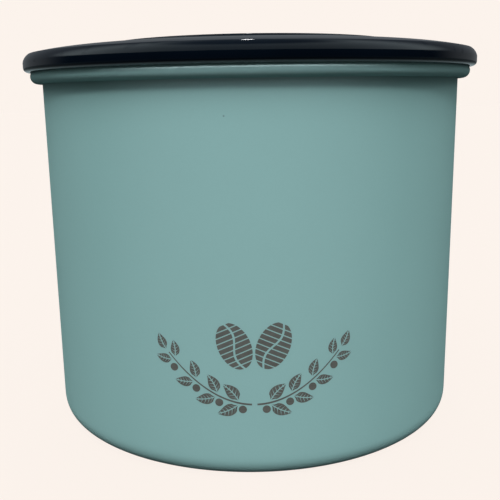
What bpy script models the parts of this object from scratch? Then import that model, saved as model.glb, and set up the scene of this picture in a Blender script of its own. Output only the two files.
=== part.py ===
"""Coffee canister with a lift-off lid and an airtight inner lid that is pushed down on the coffee.

The origin is the centre of the base, +Z is up and the photographed front faces -Y. All sizes are in metres.
"""

import math

import bmesh
import bpy
from mathutils import Vector

# Fits that several pieces share
contact_gap = 0.0003
cut_overrun = 0.0010
weld_overlap = 0.0005
merge_distance = 0.00001

# Facets round large, small and very small turned pieces and round drilled holes
large_steps = 48
small_steps = 24
tiny_steps = 16
hole_steps = 8
sharp_edge_angle = math.radians(35)

# Canister body: one deep-drawn steel cup with a rim rolled outwards
body_radius = 0.0565
steel_thickness = 0.0007
base_corner_width = 0.0080
base_corner_height = 0.0062
base_corner_power = 2.9
base_recess_radius = 0.0400
base_recess_depth = 0.0012
base_recess_slope = 0.0030
curl_radius = 0.00185
rim_underside_height = 0.0914
curl_end_angle = math.radians(-115)
base_corner_segments = 7
curl_segments = 11
recess_segments = 3

# Top lid: smoke plastic, a crown under a plateau, a bevelled edge and a plug inside the rim
lid_gasket_thickness = 0.0011
lid_plate_thickness = 0.0020
lid_edge_overhang = 0.0016
lid_crown_rise = 0.0018
lid_crown_power = 2.4
lid_bevel_width = 0.0014
lid_bevel_drop = 0.0021
lid_bevel_turn = math.radians(44)
lid_side_height = 0.0013
lid_skirt_angle = math.radians(30)
lid_lip_width = 0.00042
lid_plateau_inset = 0.0220
lid_plateau_rise = 0.0010
lid_plateau_slope = 0.0008
lid_plateau_round = 0.0006
lid_plug_clearance = 0.0007
lid_plug_wall = 0.0018
lid_plug_depth = 0.0070
lid_plug_lead = 0.0006
lid_crown_segments = 7
lid_bevel_segments = 5
lid_lip_segments = 4
lid_round_segments = 3

# Inner lid base: a dish with a groove for the wiper seal and a well for the valve
inner_edge_clearance = 0.0022
inner_wall = 0.0018
inner_plate_thickness = 0.0018
inner_rim_height = 0.0104
seal_flange_thickness = 0.0016
seal_groove_depth = 0.0014
edge_chamfer = 0.0004
snap_ledge_width = 0.0008
snap_ledge_height = 0.0015

# Wiper seal: a silicone sleeve with a lip at each end
wiper_lip_rise = 0.0006
wiper_lip_edge = 0.0005
wiper_lip_root = 0.0013

# Valve: plunger, seal, button and spring on the lid's axis
valve_lift = 0.0025
stem_radius = 0.0018
stem_thread_length = 0.0024
stem_reach_into_button = 0.0008
valve_disc_radius = 0.0122
valve_disc_thickness = 0.0015
valve_disc_recess = 0.0009
valve_hub_radius = 0.0093
valve_hub_height = 0.0008
valve_seal_height = 0.0010
valve_seal_edge = 0.0004
valve_well_clearance = 0.0008
port_outer_radius = 0.0090
port_inner_radius = 0.0063
port_count = 3
port_angle = math.radians(92)
port_segments = 8
guide_radius = 0.0040
guide_height = 0.0017
spring_radius = 0.0052
spring_wire_radius = 0.00045
spring_height = 0.0060
spring_turns = 3
spring_points_per_turn = 10
spring_wire_resolution = 1
button_radius = 0.0075
button_thickness = 0.0022
button_boss_radius = 0.0034
button_round = 0.0004

# Inner lid cover: a dish that snaps into the base and carries the handle
cover_floor_thickness = 0.0018
cover_rim_inset = 0.0014
cover_rim_wall = 0.0018
cover_lip_thickness = 0.0012
cover_floor_fillet = 0.0015
cover_hole_clearance = 0.0010
cover_collar_wall = 0.0012
cover_collar_height = 0.0008
hook_count = 4
hook_thickness = 0.0013
hook_width = 0.0060
hook_length = 0.0034
hook_reach = 0.0007

# Lift handle: a D-shaped bail on a cross bar with the valve's cam
handle_reach = 0.0240
handle_band_width = 0.0060
handle_band_height = 0.0044
handle_band_round = 0.0012
handle_bar_radius = 0.0026
cam_width = 0.0080
cam_segments = 8
cam_nose_segments = 4
cam_back_segments = 8
handle_arc_segments = 18
handle_round_segments = 2

# Handle pins and the ears that hold them
pin_radius = 0.0012
pin_head_radius = 0.0022
pin_head_thickness = 0.0009
pin_depth_in_handle = 0.0060
ear_thickness = 0.0030
ear_top_radius = 0.0030
ear_foot_half_width = 0.0048
ear_segments = 8
handle_rest_half_width = 0.0040

# Degassing valve: a silicone umbrella over small vents, with a guard below it
vent_housing_wall = 0.0018
vent_floor_thickness = 0.0018
vent_pocket_radius = 0.0077
vent_pocket_depth = 0.0022
vent_hole_radius = 0.0009
vent_hole_circle = 0.0034
vent_hole_count = 6
umbrella_radius = 0.0056
umbrella_edge = 0.0005
umbrella_crown = 0.0007
umbrella_stem_radius = 0.0012
umbrella_bulb_radius = 0.0018
umbrella_bulb_height = 0.0006
umbrella_segments = 3
guard_thickness = 0.0008
guard_hole_radius = 0.0008
guard_hole_circle = 0.0045
guard_hole_count = 8

# Headroom that the raised handle keeps under the closed top lid
handle_headroom = 0.0017
inner_lid_lift = 0.0070

# Heights and radii of the body that the lids follow
body_inner_radius = body_radius - steel_thickness
curl_centre_radius = body_inner_radius + curl_radius
curl_centre_height = rim_underside_height + curl_radius
rim_top_height = curl_centre_height + curl_radius
rim_tip_radius = curl_centre_radius + curl_radius

# Heights and radii of the top lid
lid_flange_underside = rim_top_height + contact_gap + lid_gasket_thickness + contact_gap
lid_shoulder_height = lid_flange_underside + lid_plate_thickness
lid_crown_height = lid_shoulder_height + lid_crown_rise
lid_top_height = lid_crown_height + lid_plateau_rise
lid_radius = rim_tip_radius + lid_edge_overhang
lid_corner_height = lid_shoulder_height - lid_bevel_drop
lid_side_end = lid_corner_height - lid_side_height
lid_plug_radius = body_inner_radius - lid_plug_clearance
lid_plug_inner_radius = lid_plug_radius - lid_plug_wall
lid_plug_end = lid_flange_underside - lid_plug_depth
lid_skirt_distance = curl_radius + contact_gap
lid_skirt_radius = curl_centre_radius + lid_skirt_distance * math.cos(lid_skirt_angle)
lid_skirt_end = curl_centre_height + lid_skirt_distance * math.sin(lid_skirt_angle)
lid_plateau_radius = lid_radius - lid_plateau_inset
lid_foot_radius = lid_plateau_radius + lid_plateau_slope
lid_crown_radius = lid_radius - lid_bevel_width
lid_ceiling_height = lid_top_height - lid_plate_thickness

# Radii of the inner lid, from the wall that it slides in
inner_flange_radius = body_inner_radius - inner_edge_clearance
seal_groove_radius = inner_flange_radius - seal_groove_depth
inner_wall_radius = seal_groove_radius - inner_wall
snap_ledge_radius = inner_wall_radius - snap_ledge_width

# Heights of the valve above the underside of the inner lid
valve_disc_top = valve_disc_recess + valve_disc_thickness
valve_seal_base = valve_disc_top + contact_gap
valve_seal_top = valve_seal_base + valve_seal_height
well_ceiling = valve_seal_top + contact_gap
well_top = well_ceiling + inner_plate_thickness
well_radius = valve_disc_radius + valve_well_clearance
well_outer_radius = well_radius + inner_wall
guide_top = well_top + guide_height
spring_base = well_top + contact_gap
spring_top = spring_base + spring_height
button_underside = spring_top + contact_gap
button_top = button_underside + button_thickness
stem_top = button_underside + stem_reach_into_button
handle_pivot_height = button_top + contact_gap + handle_bar_radius

# The vent lies midway between the valve's well and the inner lid's wall
vent_offset = (well_outer_radius + inner_wall_radius) / 2

# Heights of the inner lid's cover
cover_underside = inner_rim_height + contact_gap
cover_floor = cover_underside + cover_floor_thickness
cover_rim_top = handle_pivot_height + ear_top_radius

# Height of the inner lid's underside in the canister at rest
inner_lid_height = (
    lid_ceiling_height - handle_headroom - handle_reach - handle_pivot_height - inner_lid_lift
)


def clear_scene():
    """Remove every object of the scene that the file opened with."""
    for item in list(bpy.data.objects):
        bpy.data.objects.remove(item, do_unlink=True)


def new_collection(name):
    """Make a collection and put it in the scene."""
    collection = bpy.data.collections.new(name)
    bpy.context.scene.collection.children.link(collection)
    return collection


def new_material(name, colour, roughness, metallic=0.0):
    """Make a Principled material from a linear colour, a roughness and a metallic value."""
    material = bpy.data.materials.new(name)
    material.use_nodes = True
    shader = material.node_tree.nodes["Principled BSDF"]
    shader.inputs["Base Color"].default_value = (*colour, 1.0)
    shader.inputs["Roughness"].default_value = roughness
    shader.inputs["Metallic"].default_value = metallic
    return material


clear_scene()
parts = new_collection("coffee_canister")
cutters = new_collection("cutters")

body_paint = new_material("seafoam_powder_coat", (0.209, 0.371, 0.371), 0.45)
smoke_plastic = new_material("smoke_plastic", (0.010, 0.014, 0.018), 0.10)
lid_plastic = new_material("charcoal_plastic", (0.030, 0.033, 0.036), 0.40)
handle_plastic = new_material("black_plastic", (0.012, 0.013, 0.014), 0.30)
valve_plastic = new_material("grey_plastic", (0.180, 0.190, 0.195), 0.45)
silicone = new_material("grey_silicone", (0.120, 0.130, 0.135), 0.65)
steel = new_material("stainless_steel", (0.560, 0.550, 0.530), 0.30, 1.0)


def arc_points(centre, radius, start, end, segments, height=None):
    """Points of an arc, or of part of an ellipse where height is given, from angle start to end."""
    tall = radius if height is None else height
    points = []
    for index in range(segments + 1):
        angle = start + (end - start) * index / segments
        points.append((centre[0] + radius * math.cos(angle), centre[1] + tall * math.sin(angle)))
    return points


def eased_step(start, end, segments):
    """Points of an S-shaped step from start to end, flat at both ends."""
    points = []
    for index in range(segments + 1):
        share = index / segments
        rise = (1 - math.cos(math.pi * share)) / 2
        points.append((start[0] + (end[0] - start[0]) * share, start[1] + (end[1] - start[1]) * rise))
    return points


def without_doubles(points):
    """Drop each point that lies on the one before it."""
    kept = [points[0]]
    for point in points[1:]:
        if math.dist(point, kept[-1]) > merge_distance:
            kept.append(point)
    return kept


def add_object(name, mesh, collection, material=None):
    """Put a mesh in an object of a collection."""
    item = bpy.data.objects.new(name, mesh)
    collection.objects.link(item)
    if material is not None:
        mesh.materials.append(material)
    if collection is cutters:
        item.hide_render = True
        item.display_type = "WIRE"
    return item


def add_frame(name, height, parent=None):
    """Put an empty on the canister's axis to carry a group of pieces."""
    frame = bpy.data.objects.new(name, None)
    parts.objects.link(frame)
    frame.parent = parent
    frame.location = (0, 0, height)
    return frame


def place(item, parent, location=(0, 0, 0)):
    """Carry an object on a frame at a place in that frame."""
    item.parent = parent
    item.location = location
    return item


def turned(name, profile, steps, material, closed=True, collection=parts):
    """Turn a profile of radius and height pairs round Z; an open profile has both ends on the axis."""
    points = without_doubles(profile)
    edges = [(index, index + 1) for index in range(len(points) - 1)]
    if closed:
        edges.append((len(points) - 1, 0))
    mesh = bpy.data.meshes.new(name)
    mesh.from_pydata([(radius, 0, height) for radius, height in points], edges, [])
    item = add_object(name, mesh, collection, material)
    screw = item.modifiers.new("turn", "SCREW")
    screw.axis = "Z"
    screw.angle = math.tau
    screw.steps = steps
    screw.render_steps = steps
    screw.use_merge_vertices = True
    screw.merge_threshold = merge_distance
    screw.use_smooth_shade = True
    return item


def shade_round(mesh):
    """Shade a mesh smooth, with sharp edges where faces meet at a clear angle."""
    mesh.shade_smooth()
    mesh.set_sharp_from_angle(angle=sharp_edge_angle)


def prism(name, outline, start, depth, axes, material=None, collection=cutters):
    """Extrude a flat outline; axes gives the directions of its two coordinates and of the extrusion."""
    across, up, along = (Vector(axis) for axis in axes)
    form = bmesh.new()
    corners = [form.verts.new(across * u + up * v + along * start) for u, v in outline]
    face = form.faces.new(corners)
    extruded = bmesh.ops.extrude_face_region(form, geom=[face])
    moved = [item for item in extruded["geom"] if isinstance(item, bmesh.types.BMVert)]
    bmesh.ops.translate(form, verts=moved, vec=along * depth)
    bmesh.ops.recalc_face_normals(form, faces=form.faces)
    mesh = bpy.data.meshes.new(name)
    form.to_mesh(mesh)
    form.free()
    shade_round(mesh)
    return add_object(name, mesh, collection, material)


def rod(name, radius, start, end, axis, steps, collection=cutters, material=None):
    """A closed cylinder along an axis, between two places on it."""
    direction = Vector(axis)
    form = bmesh.new()
    bmesh.ops.create_cone(
        form, cap_ends=True, segments=steps, radius1=radius, radius2=radius, depth=end - start,
        matrix=direction.to_track_quat("Z", "Y").to_matrix().to_4x4(),
    )
    bmesh.ops.translate(form, verts=form.verts, vec=direction * (start + end) / 2)
    mesh = bpy.data.meshes.new(name)
    form.to_mesh(mesh)
    form.free()
    shade_round(mesh)
    return add_object(name, mesh, collection, material)


def boolean(item, tool, operation):
    """Join a tool to an object or cut it out of the object."""
    modifier = item.modifiers.new(tool.name, "BOOLEAN")
    modifier.operation = operation
    modifier.solver = "EXACT"
    modifier.object = tool


def ring_directions(count, first_angle=0.0):
    """Directions spread evenly round the origin."""
    angles = [first_angle + math.tau * index / count for index in range(count)]
    return [(math.cos(angle), math.sin(angle)) for angle in angles]


def ring_places(count, radius):
    """Places spread evenly on a circle round the origin."""
    return [(radius * x, radius * y) for x, y in ring_directions(count)]


def drawn_corner(centre, inset):
    """The corner between wall and base, top to bottom, moved in from the outer side by an inset.

    It is a quarter of a superellipse, which leaves the wall more gently than an arc does.
    """
    width = base_corner_width - inset
    height = base_corner_height - inset
    exponent = 2 / base_corner_power
    points = []
    for index in range(base_corner_segments + 1):
        angle = math.pi / 2 * (1 - index / base_corner_segments)
        points.append((
            centre[0] + width * math.sin(angle) ** exponent,
            centre[1] - height * math.cos(angle) ** exponent,
        ))
    return points


def make_body():
    """The drawn steel cup: recessed base, round corner, straight wall and open curl at the rim."""
    corner_centre = (body_radius - base_corner_width, base_corner_height)
    curl_centre = (curl_centre_radius, curl_centre_height)
    recess_start = base_recess_radius - base_recess_slope
    inside = [(0, base_recess_depth + steel_thickness)]
    inside += eased_step(
        (recess_start, base_recess_depth + steel_thickness), (base_recess_radius, steel_thickness),
        recess_segments,
    )
    inside += reversed(drawn_corner(corner_centre, steel_thickness))
    curl = arc_points(curl_centre, curl_radius, math.pi, curl_end_angle, curl_segments)
    curl += arc_points(
        curl_centre, curl_radius - steel_thickness, curl_end_angle, math.pi, curl_segments
    )
    outside = drawn_corner(corner_centre, 0)
    outside += eased_step((base_recess_radius, 0), (recess_start, base_recess_depth), recess_segments)
    outside.append((0, base_recess_depth))
    return turned("canister_body", inside + curl + outside, large_steps, body_paint, closed=False)


def crown_points(start, end, drop):
    """Points along the lid's crown, less a drop; it falls with a power of the way to its edge."""
    points = []
    for index in range(lid_crown_segments + 1):
        radius = start + (end - start) * index / lid_crown_segments
        share = max(radius - lid_foot_radius, 0) / (lid_crown_radius - lid_foot_radius)
        points.append((radius, lid_crown_height - lid_crown_rise * share ** lid_crown_power - drop))
    return points


def bevel_points():
    """Points of the bevel, a shallow arc from the crown's edge down to the lid's side."""
    normal = math.atan2(lid_bevel_width, lid_bevel_drop)
    half_turn = lid_bevel_turn / 2
    half_chord = math.hypot(lid_bevel_width, lid_bevel_drop) / 2
    radius = half_chord / math.sin(half_turn)
    end = normal - half_turn
    centre = (lid_radius - radius * math.cos(end), lid_corner_height - radius * math.sin(end))
    return arc_points(centre, radius, normal + half_turn, end, lid_bevel_segments)


def make_top_lid():
    """The smoke lid: plateau, crown, bevelled edge, lip, gasket channel and plug."""
    lip_outer = lid_skirt_radius + lid_lip_width
    profile = [(0, lid_top_height)]
    profile += arc_points(
        (lid_plateau_radius - lid_plateau_round, lid_top_height - lid_plateau_round),
        lid_plateau_round, math.pi / 2, 0, lid_round_segments,
    )
    profile += crown_points(lid_foot_radius, lid_crown_radius, 0)
    profile += bevel_points()
    profile += arc_points(
        (lip_outer, lid_side_end), lid_radius - lip_outer, 0, -math.pi / 2, lid_lip_segments,
        lid_side_end - lid_skirt_end,
    )
    profile += [
        (lid_skirt_radius, lid_skirt_end),
        (lid_skirt_radius, lid_flange_underside),
        (lid_plug_radius, lid_flange_underside),
        (lid_plug_radius, lid_plug_end + lid_plug_lead),
        (lid_plug_radius - lid_plug_lead, lid_plug_end),
        (lid_plug_inner_radius, lid_plug_end),
    ]
    profile += crown_points(
        lid_plug_inner_radius, lid_foot_radius - lid_plate_thickness, lid_plate_thickness
    )
    profile += [
        (lid_plateau_radius - lid_plate_thickness, lid_ceiling_height),
        (0, lid_ceiling_height),
    ]
    return turned("top_lid", profile, large_steps, smoke_plastic, closed=False)


def make_top_lid_gasket():
    """The flat silicone ring between the lid's flange and the rim."""
    low = rim_top_height + contact_gap
    high = low + lid_gasket_thickness
    inner = lid_plug_radius + contact_gap
    outer = lid_skirt_radius - contact_gap
    profile = [(inner, high), (outer, high), (outer, low), (inner, low)]
    return turned("top_lid_gasket", profile, large_steps, silicone)


def port_cutter(index):
    """One opening of the valve port, a sector of the ring between the guide and the valve seat."""
    middle = math.tau * index / port_count
    start = middle - port_angle / 2
    end = middle + port_angle / 2
    outline = arc_points((0, 0), port_outer_radius, start, end, port_segments)
    outline += arc_points((0, 0), port_inner_radius, end, start, port_segments)
    depth = inner_plate_thickness + cut_overrun + cut_overrun
    return prism(
        f"port_cutter_{index + 1}", outline, well_ceiling - cut_overrun, depth,
        ((1, 0, 0), (0, 1, 0), (0, 0, 1)),
    )


def make_inner_lid_base(frame):
    """The lower half of the inner lid, with the seal groove, valve well, guide and vent housing."""
    guide_bore = stem_radius + contact_gap
    ledge_underside = inner_rim_height - snap_ledge_height
    groove_top = inner_rim_height - seal_flange_thickness
    profile = [
        (snap_ledge_radius, inner_rim_height),
        (inner_flange_radius, inner_rim_height),
        (inner_flange_radius, groove_top),
        (seal_groove_radius, groove_top),
        (seal_groove_radius, seal_flange_thickness),
        (inner_flange_radius, seal_flange_thickness),
        (inner_flange_radius, edge_chamfer),
        (inner_flange_radius - edge_chamfer, 0),
        (well_radius, 0),
        (well_radius, well_ceiling),
        (guide_bore, well_ceiling),
        (guide_bore, guide_top),
        (guide_radius, guide_top),
        (guide_radius, well_top),
        (well_outer_radius, well_top),
        (well_outer_radius, inner_plate_thickness),
        (inner_wall_radius, inner_plate_thickness),
        (inner_wall_radius, ledge_underside),
        (snap_ledge_radius, ledge_underside),
    ]
    base = place(turned("inner_lid_base", profile, large_steps, lid_plastic), frame)
    for index in range(port_count):
        boolean(base, place(port_cutter(index), frame), "DIFFERENCE")
    vent_place = (0, -vent_offset, 0)
    housing_top = vent_pocket_depth + vent_floor_thickness
    housing = rod(
        "vent_housing", vent_pocket_radius + vent_housing_wall, weld_overlap, housing_top, (0, 0, 1),
        small_steps,
    )
    boolean(base, place(housing, frame, vent_place), "UNION")
    pocket = rod(
        "vent_pocket", vent_pocket_radius, -cut_overrun, vent_pocket_depth, (0, 0, 1), small_steps
    )
    boolean(base, place(pocket, frame, vent_place), "DIFFERENCE")
    hole_end = housing_top + cut_overrun
    middle = rod(
        "vent_middle", umbrella_stem_radius + contact_gap, 0, hole_end, (0, 0, 1), tiny_steps
    )
    boolean(base, place(middle, frame, vent_place), "DIFFERENCE")
    for index, (x, y) in enumerate(ring_places(vent_hole_count, vent_hole_circle)):
        hole = rod(f"vent_hole_{index + 1}", vent_hole_radius, 0, hole_end, (0, 0, 1), hole_steps)
        boolean(base, place(hole, frame, (x, y - vent_offset, 0)), "DIFFERENCE")
    return base


def make_wiper_seal(frame):
    """The silicone sleeve that seals against the wall with a lip at each end."""
    tip = body_inner_radius - contact_gap
    inner = seal_groove_radius + contact_gap
    high = inner_rim_height - seal_flange_thickness - contact_gap
    low = seal_flange_thickness + contact_gap
    profile = [
        (inner, high),
        (inner_flange_radius, high),
        (tip, high + wiper_lip_rise),
        (tip, high + wiper_lip_rise - wiper_lip_edge),
        (inner_flange_radius, high - wiper_lip_root),
        (inner_flange_radius, low + wiper_lip_root),
        (tip, low - wiper_lip_rise + wiper_lip_edge),
        (tip, low - wiper_lip_rise),
        (inner_flange_radius, low),
        (inner, low),
    ]
    return place(turned("wiper_seal", profile, large_steps, silicone), frame)


def ear_outline():
    """An ear from the side, round at the top where it holds the pin."""
    foot = cover_floor - weld_overlap
    outline = [(-ear_foot_half_width, foot), (ear_foot_half_width, foot)]
    outline += arc_points((0, handle_pivot_height), ear_top_radius, 0, math.pi, ear_segments)
    return outline


def hook_outline():
    """A snap hook from the side: an arm under the cover with a nib below the base's ledge."""
    outer = snap_ledge_radius - contact_gap
    inner = outer - hook_thickness
    root = cover_underside + weld_overlap
    nib_top = inner_rim_height - snap_ledge_height - contact_gap
    end = cover_underside - hook_length
    return [
        (inner, root), (inner, end), (outer, end), (outer + hook_reach, nib_top), (outer, nib_top),
        (outer, root),
    ]


def make_inner_lid_cover(frame):
    """The upper half of the inner lid: dished floor, collar, ears, snap hooks and handle rest."""
    hole = button_radius + cover_hole_clearance
    collar = hole + cover_collar_wall
    flange = inner_flange_radius
    rim_outer = flange - cover_rim_inset
    rim_inner = rim_outer - cover_rim_wall
    lip_underside = cover_rim_top - cover_lip_thickness
    collar_top = cover_floor + cover_collar_height
    profile = [
        (rim_inner, cover_rim_top),
        (flange, cover_rim_top),
        (flange, lip_underside),
        (rim_outer, lip_underside),
        (rim_outer, cover_floor),
        (flange, cover_floor),
        (flange, cover_underside),
        (hole, cover_underside),
        (hole, collar_top),
        (collar, collar_top),
        (collar, cover_floor),
        (rim_inner - cover_floor_fillet, cover_floor),
        (rim_inner, cover_floor + cover_floor_fillet),
    ]
    cover = place(turned("inner_lid_cover", profile, large_steps, lid_plastic), frame)
    ear_start = handle_reach + contact_gap
    for side, name in ((-1, "left"), (1, "right")):
        ear = prism(
            f"ear_{name}", ear_outline(), ear_start, ear_thickness, ((0, 1, 0), (0, 0, 1), (side, 0, 0))
        )
        boolean(cover, place(ear, frame), "UNION")
    for index, (x, y) in enumerate(ring_directions(hook_count, math.pi / hook_count)):
        hook = prism(
            f"hook_{index + 1}", hook_outline(), -hook_width / 2, hook_width,
            ((x, y, 0), (0, 0, 1), (-y, x, 0)),
        )
        boolean(cover, place(hook, frame), "UNION")
    rest_top = handle_pivot_height - handle_band_height / 2 - contact_gap
    rest_outline = [
        (-handle_rest_half_width, cover_floor - weld_overlap),
        (handle_rest_half_width, cover_floor - weld_overlap),
        (handle_rest_half_width - edge_chamfer, rest_top),
        (edge_chamfer - handle_rest_half_width, rest_top),
    ]
    rest_start = handle_reach - handle_band_width + edge_chamfer
    rest_depth = handle_band_width - edge_chamfer - edge_chamfer
    rest = prism(
        "handle_rest", rest_outline, rest_start, rest_depth, ((1, 0, 0), (0, 0, 1), (0, 1, 0))
    )
    boolean(cover, place(rest, frame), "UNION")
    bore = rod(
        "ear_bore", pin_radius + contact_gap, -handle_reach - ear_thickness - cut_overrun,
        handle_reach + ear_thickness + cut_overrun, (1, 0, 0), tiny_steps,
    )
    boolean(cover, place(bore, frame, (0, 0, handle_pivot_height)), "DIFFERENCE")
    return cover


def cam_outline():
    """The cam from the side, in Y and Z round the pivot, with the handle folded flat.

    Its working edge is an involute: a flat follower below the pivot is pushed down by the same
    amount for each degree, because the edge's distance from the pivot, measured square to the
    follower, grows evenly with the angle.
    """
    growth = valve_lift / (math.pi / 2)
    outline = []
    for index in range(cam_segments + 1):
        angle = math.pi / 2 * index / cam_segments
        height = handle_bar_radius + growth * angle
        outline.append((
            -height * math.sin(angle) - growth * math.cos(angle),
            -height * math.cos(angle) + growth * math.sin(angle),
        ))
    nose_radius = handle_bar_radius - growth
    nose_centre = (nose_radius - handle_bar_radius - valve_lift, growth)
    outline += arc_points(nose_centre, nose_radius, math.pi, math.pi / 2, cam_nose_segments)
    outline += arc_points((0, 0), handle_bar_radius, math.pi / 2, -math.pi / 2, cam_back_segments)
    return without_doubles(outline)


def band_outline():
    """The bail's section, a rectangle with round corners, as radius and height."""
    middle = handle_reach - handle_band_width / 2
    across = handle_band_width / 2 - handle_band_round
    up = handle_band_height / 2 - handle_band_round
    outline = []
    for quarter, (side, level) in enumerate(((1, 1), (-1, 1), (-1, -1), (1, -1))):
        start = math.pi / 2 * quarter
        outline += arc_points(
            (middle + side * across, level * up), handle_band_round, start, start + math.pi / 2,
            handle_round_segments,
        )
    return outline


def make_bail():
    """The half ring of the handle, its section carried half way round Z with both ends closed."""
    form = bmesh.new()
    corners = [form.verts.new((radius, 0, height)) for radius, height in band_outline()]
    face = form.faces.new(corners)
    bmesh.ops.spin(
        form, geom=[face], cent=(0, 0, 0), axis=(0, 0, 1), dvec=(0, 0, 0), angle=math.pi,
        steps=handle_arc_segments, use_merge=False, use_duplicate=False,
    )
    bmesh.ops.recalc_face_normals(form, faces=form.faces)
    mesh = bpy.data.meshes.new("lift_handle")
    form.to_mesh(mesh)
    form.free()
    shade_round(mesh)
    return add_object("lift_handle", mesh, parts, handle_plastic)


def make_lift_handle(frame):
    """The folding handle: bail, cross bar and cam in one moulding, bored for its two pins."""
    handle = place(make_bail(), frame)
    bar = rod("handle_bar", handle_bar_radius, -handle_reach, handle_reach, (1, 0, 0), small_steps)
    boolean(handle, place(bar, frame), "UNION")
    cam = prism(
        "handle_cam", cam_outline(), -cam_width / 2, cam_width, ((0, 1, 0), (0, 0, 1), (1, 0, 0))
    )
    boolean(handle, place(cam, frame), "UNION")
    bore_start = handle_reach - pin_depth_in_handle - contact_gap
    for side, name in ((-1, "left"), (1, "right")):
        bore = rod(
            f"handle_bore_{name}", pin_radius + contact_gap, bore_start, handle_reach + cut_overrun,
            (side, 0, 0), tiny_steps,
        )
        boolean(handle, place(bore, frame), "DIFFERENCE")
    return handle


def make_handle_pins(frame):
    """Two headed steel pins, from outside the ears into the ends of the cross bar."""
    head_base = handle_reach + contact_gap + ear_thickness + contact_gap
    tip = handle_reach - pin_depth_in_handle
    head_top = head_base + pin_head_thickness
    profile = [
        (0, head_top),
        (pin_head_radius - edge_chamfer, head_top),
        (pin_head_radius, head_top - edge_chamfer),
        (pin_head_radius, head_base),
        (pin_radius, head_base),
        (pin_radius, tip + edge_chamfer),
        (pin_radius - edge_chamfer, tip),
        (0, tip),
    ]
    for side, name in ((-1, "left"), (1, "right")):
        pin = turned(f"handle_pin_{name}", profile, tiny_steps, steel, closed=False)
        place(pin, frame, (0, 0, handle_pivot_height))
        pin.rotation_euler = (0, side * math.pi / 2, 0)


def make_valve_plunger(frame):
    """The valve's stem and disc in one moulding."""
    hub_top = valve_disc_top + valve_hub_height
    profile = [
        (0, stem_top),
        (stem_radius - edge_chamfer, stem_top),
        (stem_radius, stem_top - edge_chamfer),
        (stem_radius, hub_top),
        (valve_hub_radius, hub_top),
        (valve_hub_radius, valve_disc_top),
        (valve_disc_radius, valve_disc_top),
        (valve_disc_radius, valve_disc_recess + edge_chamfer),
        (valve_disc_radius - edge_chamfer, valve_disc_recess),
        (0, valve_disc_recess),
    ]
    return place(turned("valve_plunger", profile, small_steps, valve_plastic, closed=False), frame)


def make_valve_seal(frame):
    """The silicone ring round the plunger's hub that closes the port."""
    inner = valve_hub_radius + contact_gap
    outer = valve_disc_radius - valve_seal_edge
    crest = (inner + outer) / 2
    profile = [
        (inner, valve_seal_top - valve_seal_edge),
        (crest, valve_seal_top),
        (outer, valve_seal_top - valve_seal_edge),
        (outer, valve_seal_base),
        (inner, valve_seal_base),
    ]
    return place(turned("valve_seal", profile, small_steps, silicone), frame)


def make_valve_button(frame):
    """The button screwed on the stem, pushed up by the spring and down by the cam."""
    bore = stem_radius + contact_gap
    boss_end = stem_top - stem_thread_length
    profile = [
        (0, button_top),
        (button_radius - button_round, button_top),
        (button_radius, button_top - button_round),
        (button_radius, button_underside),
        (button_boss_radius, button_underside),
        (button_boss_radius, boss_end),
        (bore, boss_end),
        (bore, stem_top + contact_gap),
        (0, stem_top + contact_gap),
    ]
    return place(turned("valve_button", profile, small_steps, valve_plastic, closed=False), frame)


def spring_route():
    """Points of the helix between the seats, a wire's radius in from each end."""
    count = spring_turns * spring_points_per_turn
    travel = spring_height - spring_wire_radius - spring_wire_radius
    route = []
    for index in range(count + 1):
        angle = math.tau * index / spring_points_per_turn
        height = spring_wire_radius + travel * index / count
        route.append(Vector((spring_radius * math.cos(angle), spring_radius * math.sin(angle), height)))
    return route


def least_turn_gap(route):
    """The least clear distance between one turn of the spring and the next, on the helix's points."""
    reach = len(route) - spring_points_per_turn // 2
    return min(
        (route[index] - other).length
        for index in range(reach)
        for other in route[index + spring_points_per_turn // 2:]
    ) - spring_wire_radius - spring_wire_radius


def make_valve_spring(frame):
    """The coil spring that holds the valve shut, as one unbroken wire."""
    route = spring_route()
    curve = bpy.data.curves.new("valve_spring", "CURVE")
    curve.dimensions = "3D"
    curve.bevel_depth = spring_wire_radius
    curve.bevel_resolution = spring_wire_resolution
    curve.use_fill_caps = True
    spline = curve.splines.new("POLY")
    spline.points.add(len(route) - 1)
    for point, position in zip(spline.points, route):
        point.co = (*position, 1.0)
    curve.materials.append(steel)
    spring = bpy.data.objects.new("valve_spring", curve)
    parts.objects.link(spring)
    place(spring, frame, (0, 0, spring_base))
    print(f"valve_spring: least gap between turns {least_turn_gap(route):.5f} m")
    return spring


def make_degassing_valve(frame):
    """The silicone umbrella that lets gas out and keeps air from coming back."""
    seat = vent_pocket_depth + vent_floor_thickness + contact_gap
    bulb_top = vent_pocket_depth - contact_gap
    bulb_end = bulb_top - umbrella_bulb_height
    profile = arc_points(
        (0, seat + umbrella_edge), umbrella_radius, math.pi / 2, 0, umbrella_segments, umbrella_crown
    )
    profile += [
        (umbrella_radius, seat),
        (umbrella_stem_radius, seat),
        (umbrella_stem_radius, bulb_top),
        (umbrella_bulb_radius, bulb_top),
        (umbrella_stem_radius, bulb_end),
        (0, bulb_end),
    ]
    valve = turned("degassing_valve", profile, tiny_steps, silicone, closed=False)
    return place(valve, frame, (0, -vent_offset, 0))


def make_vent_guard(frame):
    """The pierced disc that keeps coffee grounds out of the vents."""
    radius = vent_pocket_radius - contact_gap
    guard = rod("vent_guard", radius, 0, guard_thickness, (0, 0, 1), small_steps, parts, valve_plastic)
    place(guard, frame, (0, -vent_offset, 0))
    for index, (x, y) in enumerate(ring_places(guard_hole_count, guard_hole_circle)):
        hole = rod(
            f"guard_hole_{index + 1}", guard_hole_radius, -cut_overrun, guard_thickness + cut_overrun,
            (0, 0, 1), hole_steps,
        )
        boolean(guard, place(hole, frame, (x, y - vent_offset, 0)), "DIFFERENCE")
    return guard


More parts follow.
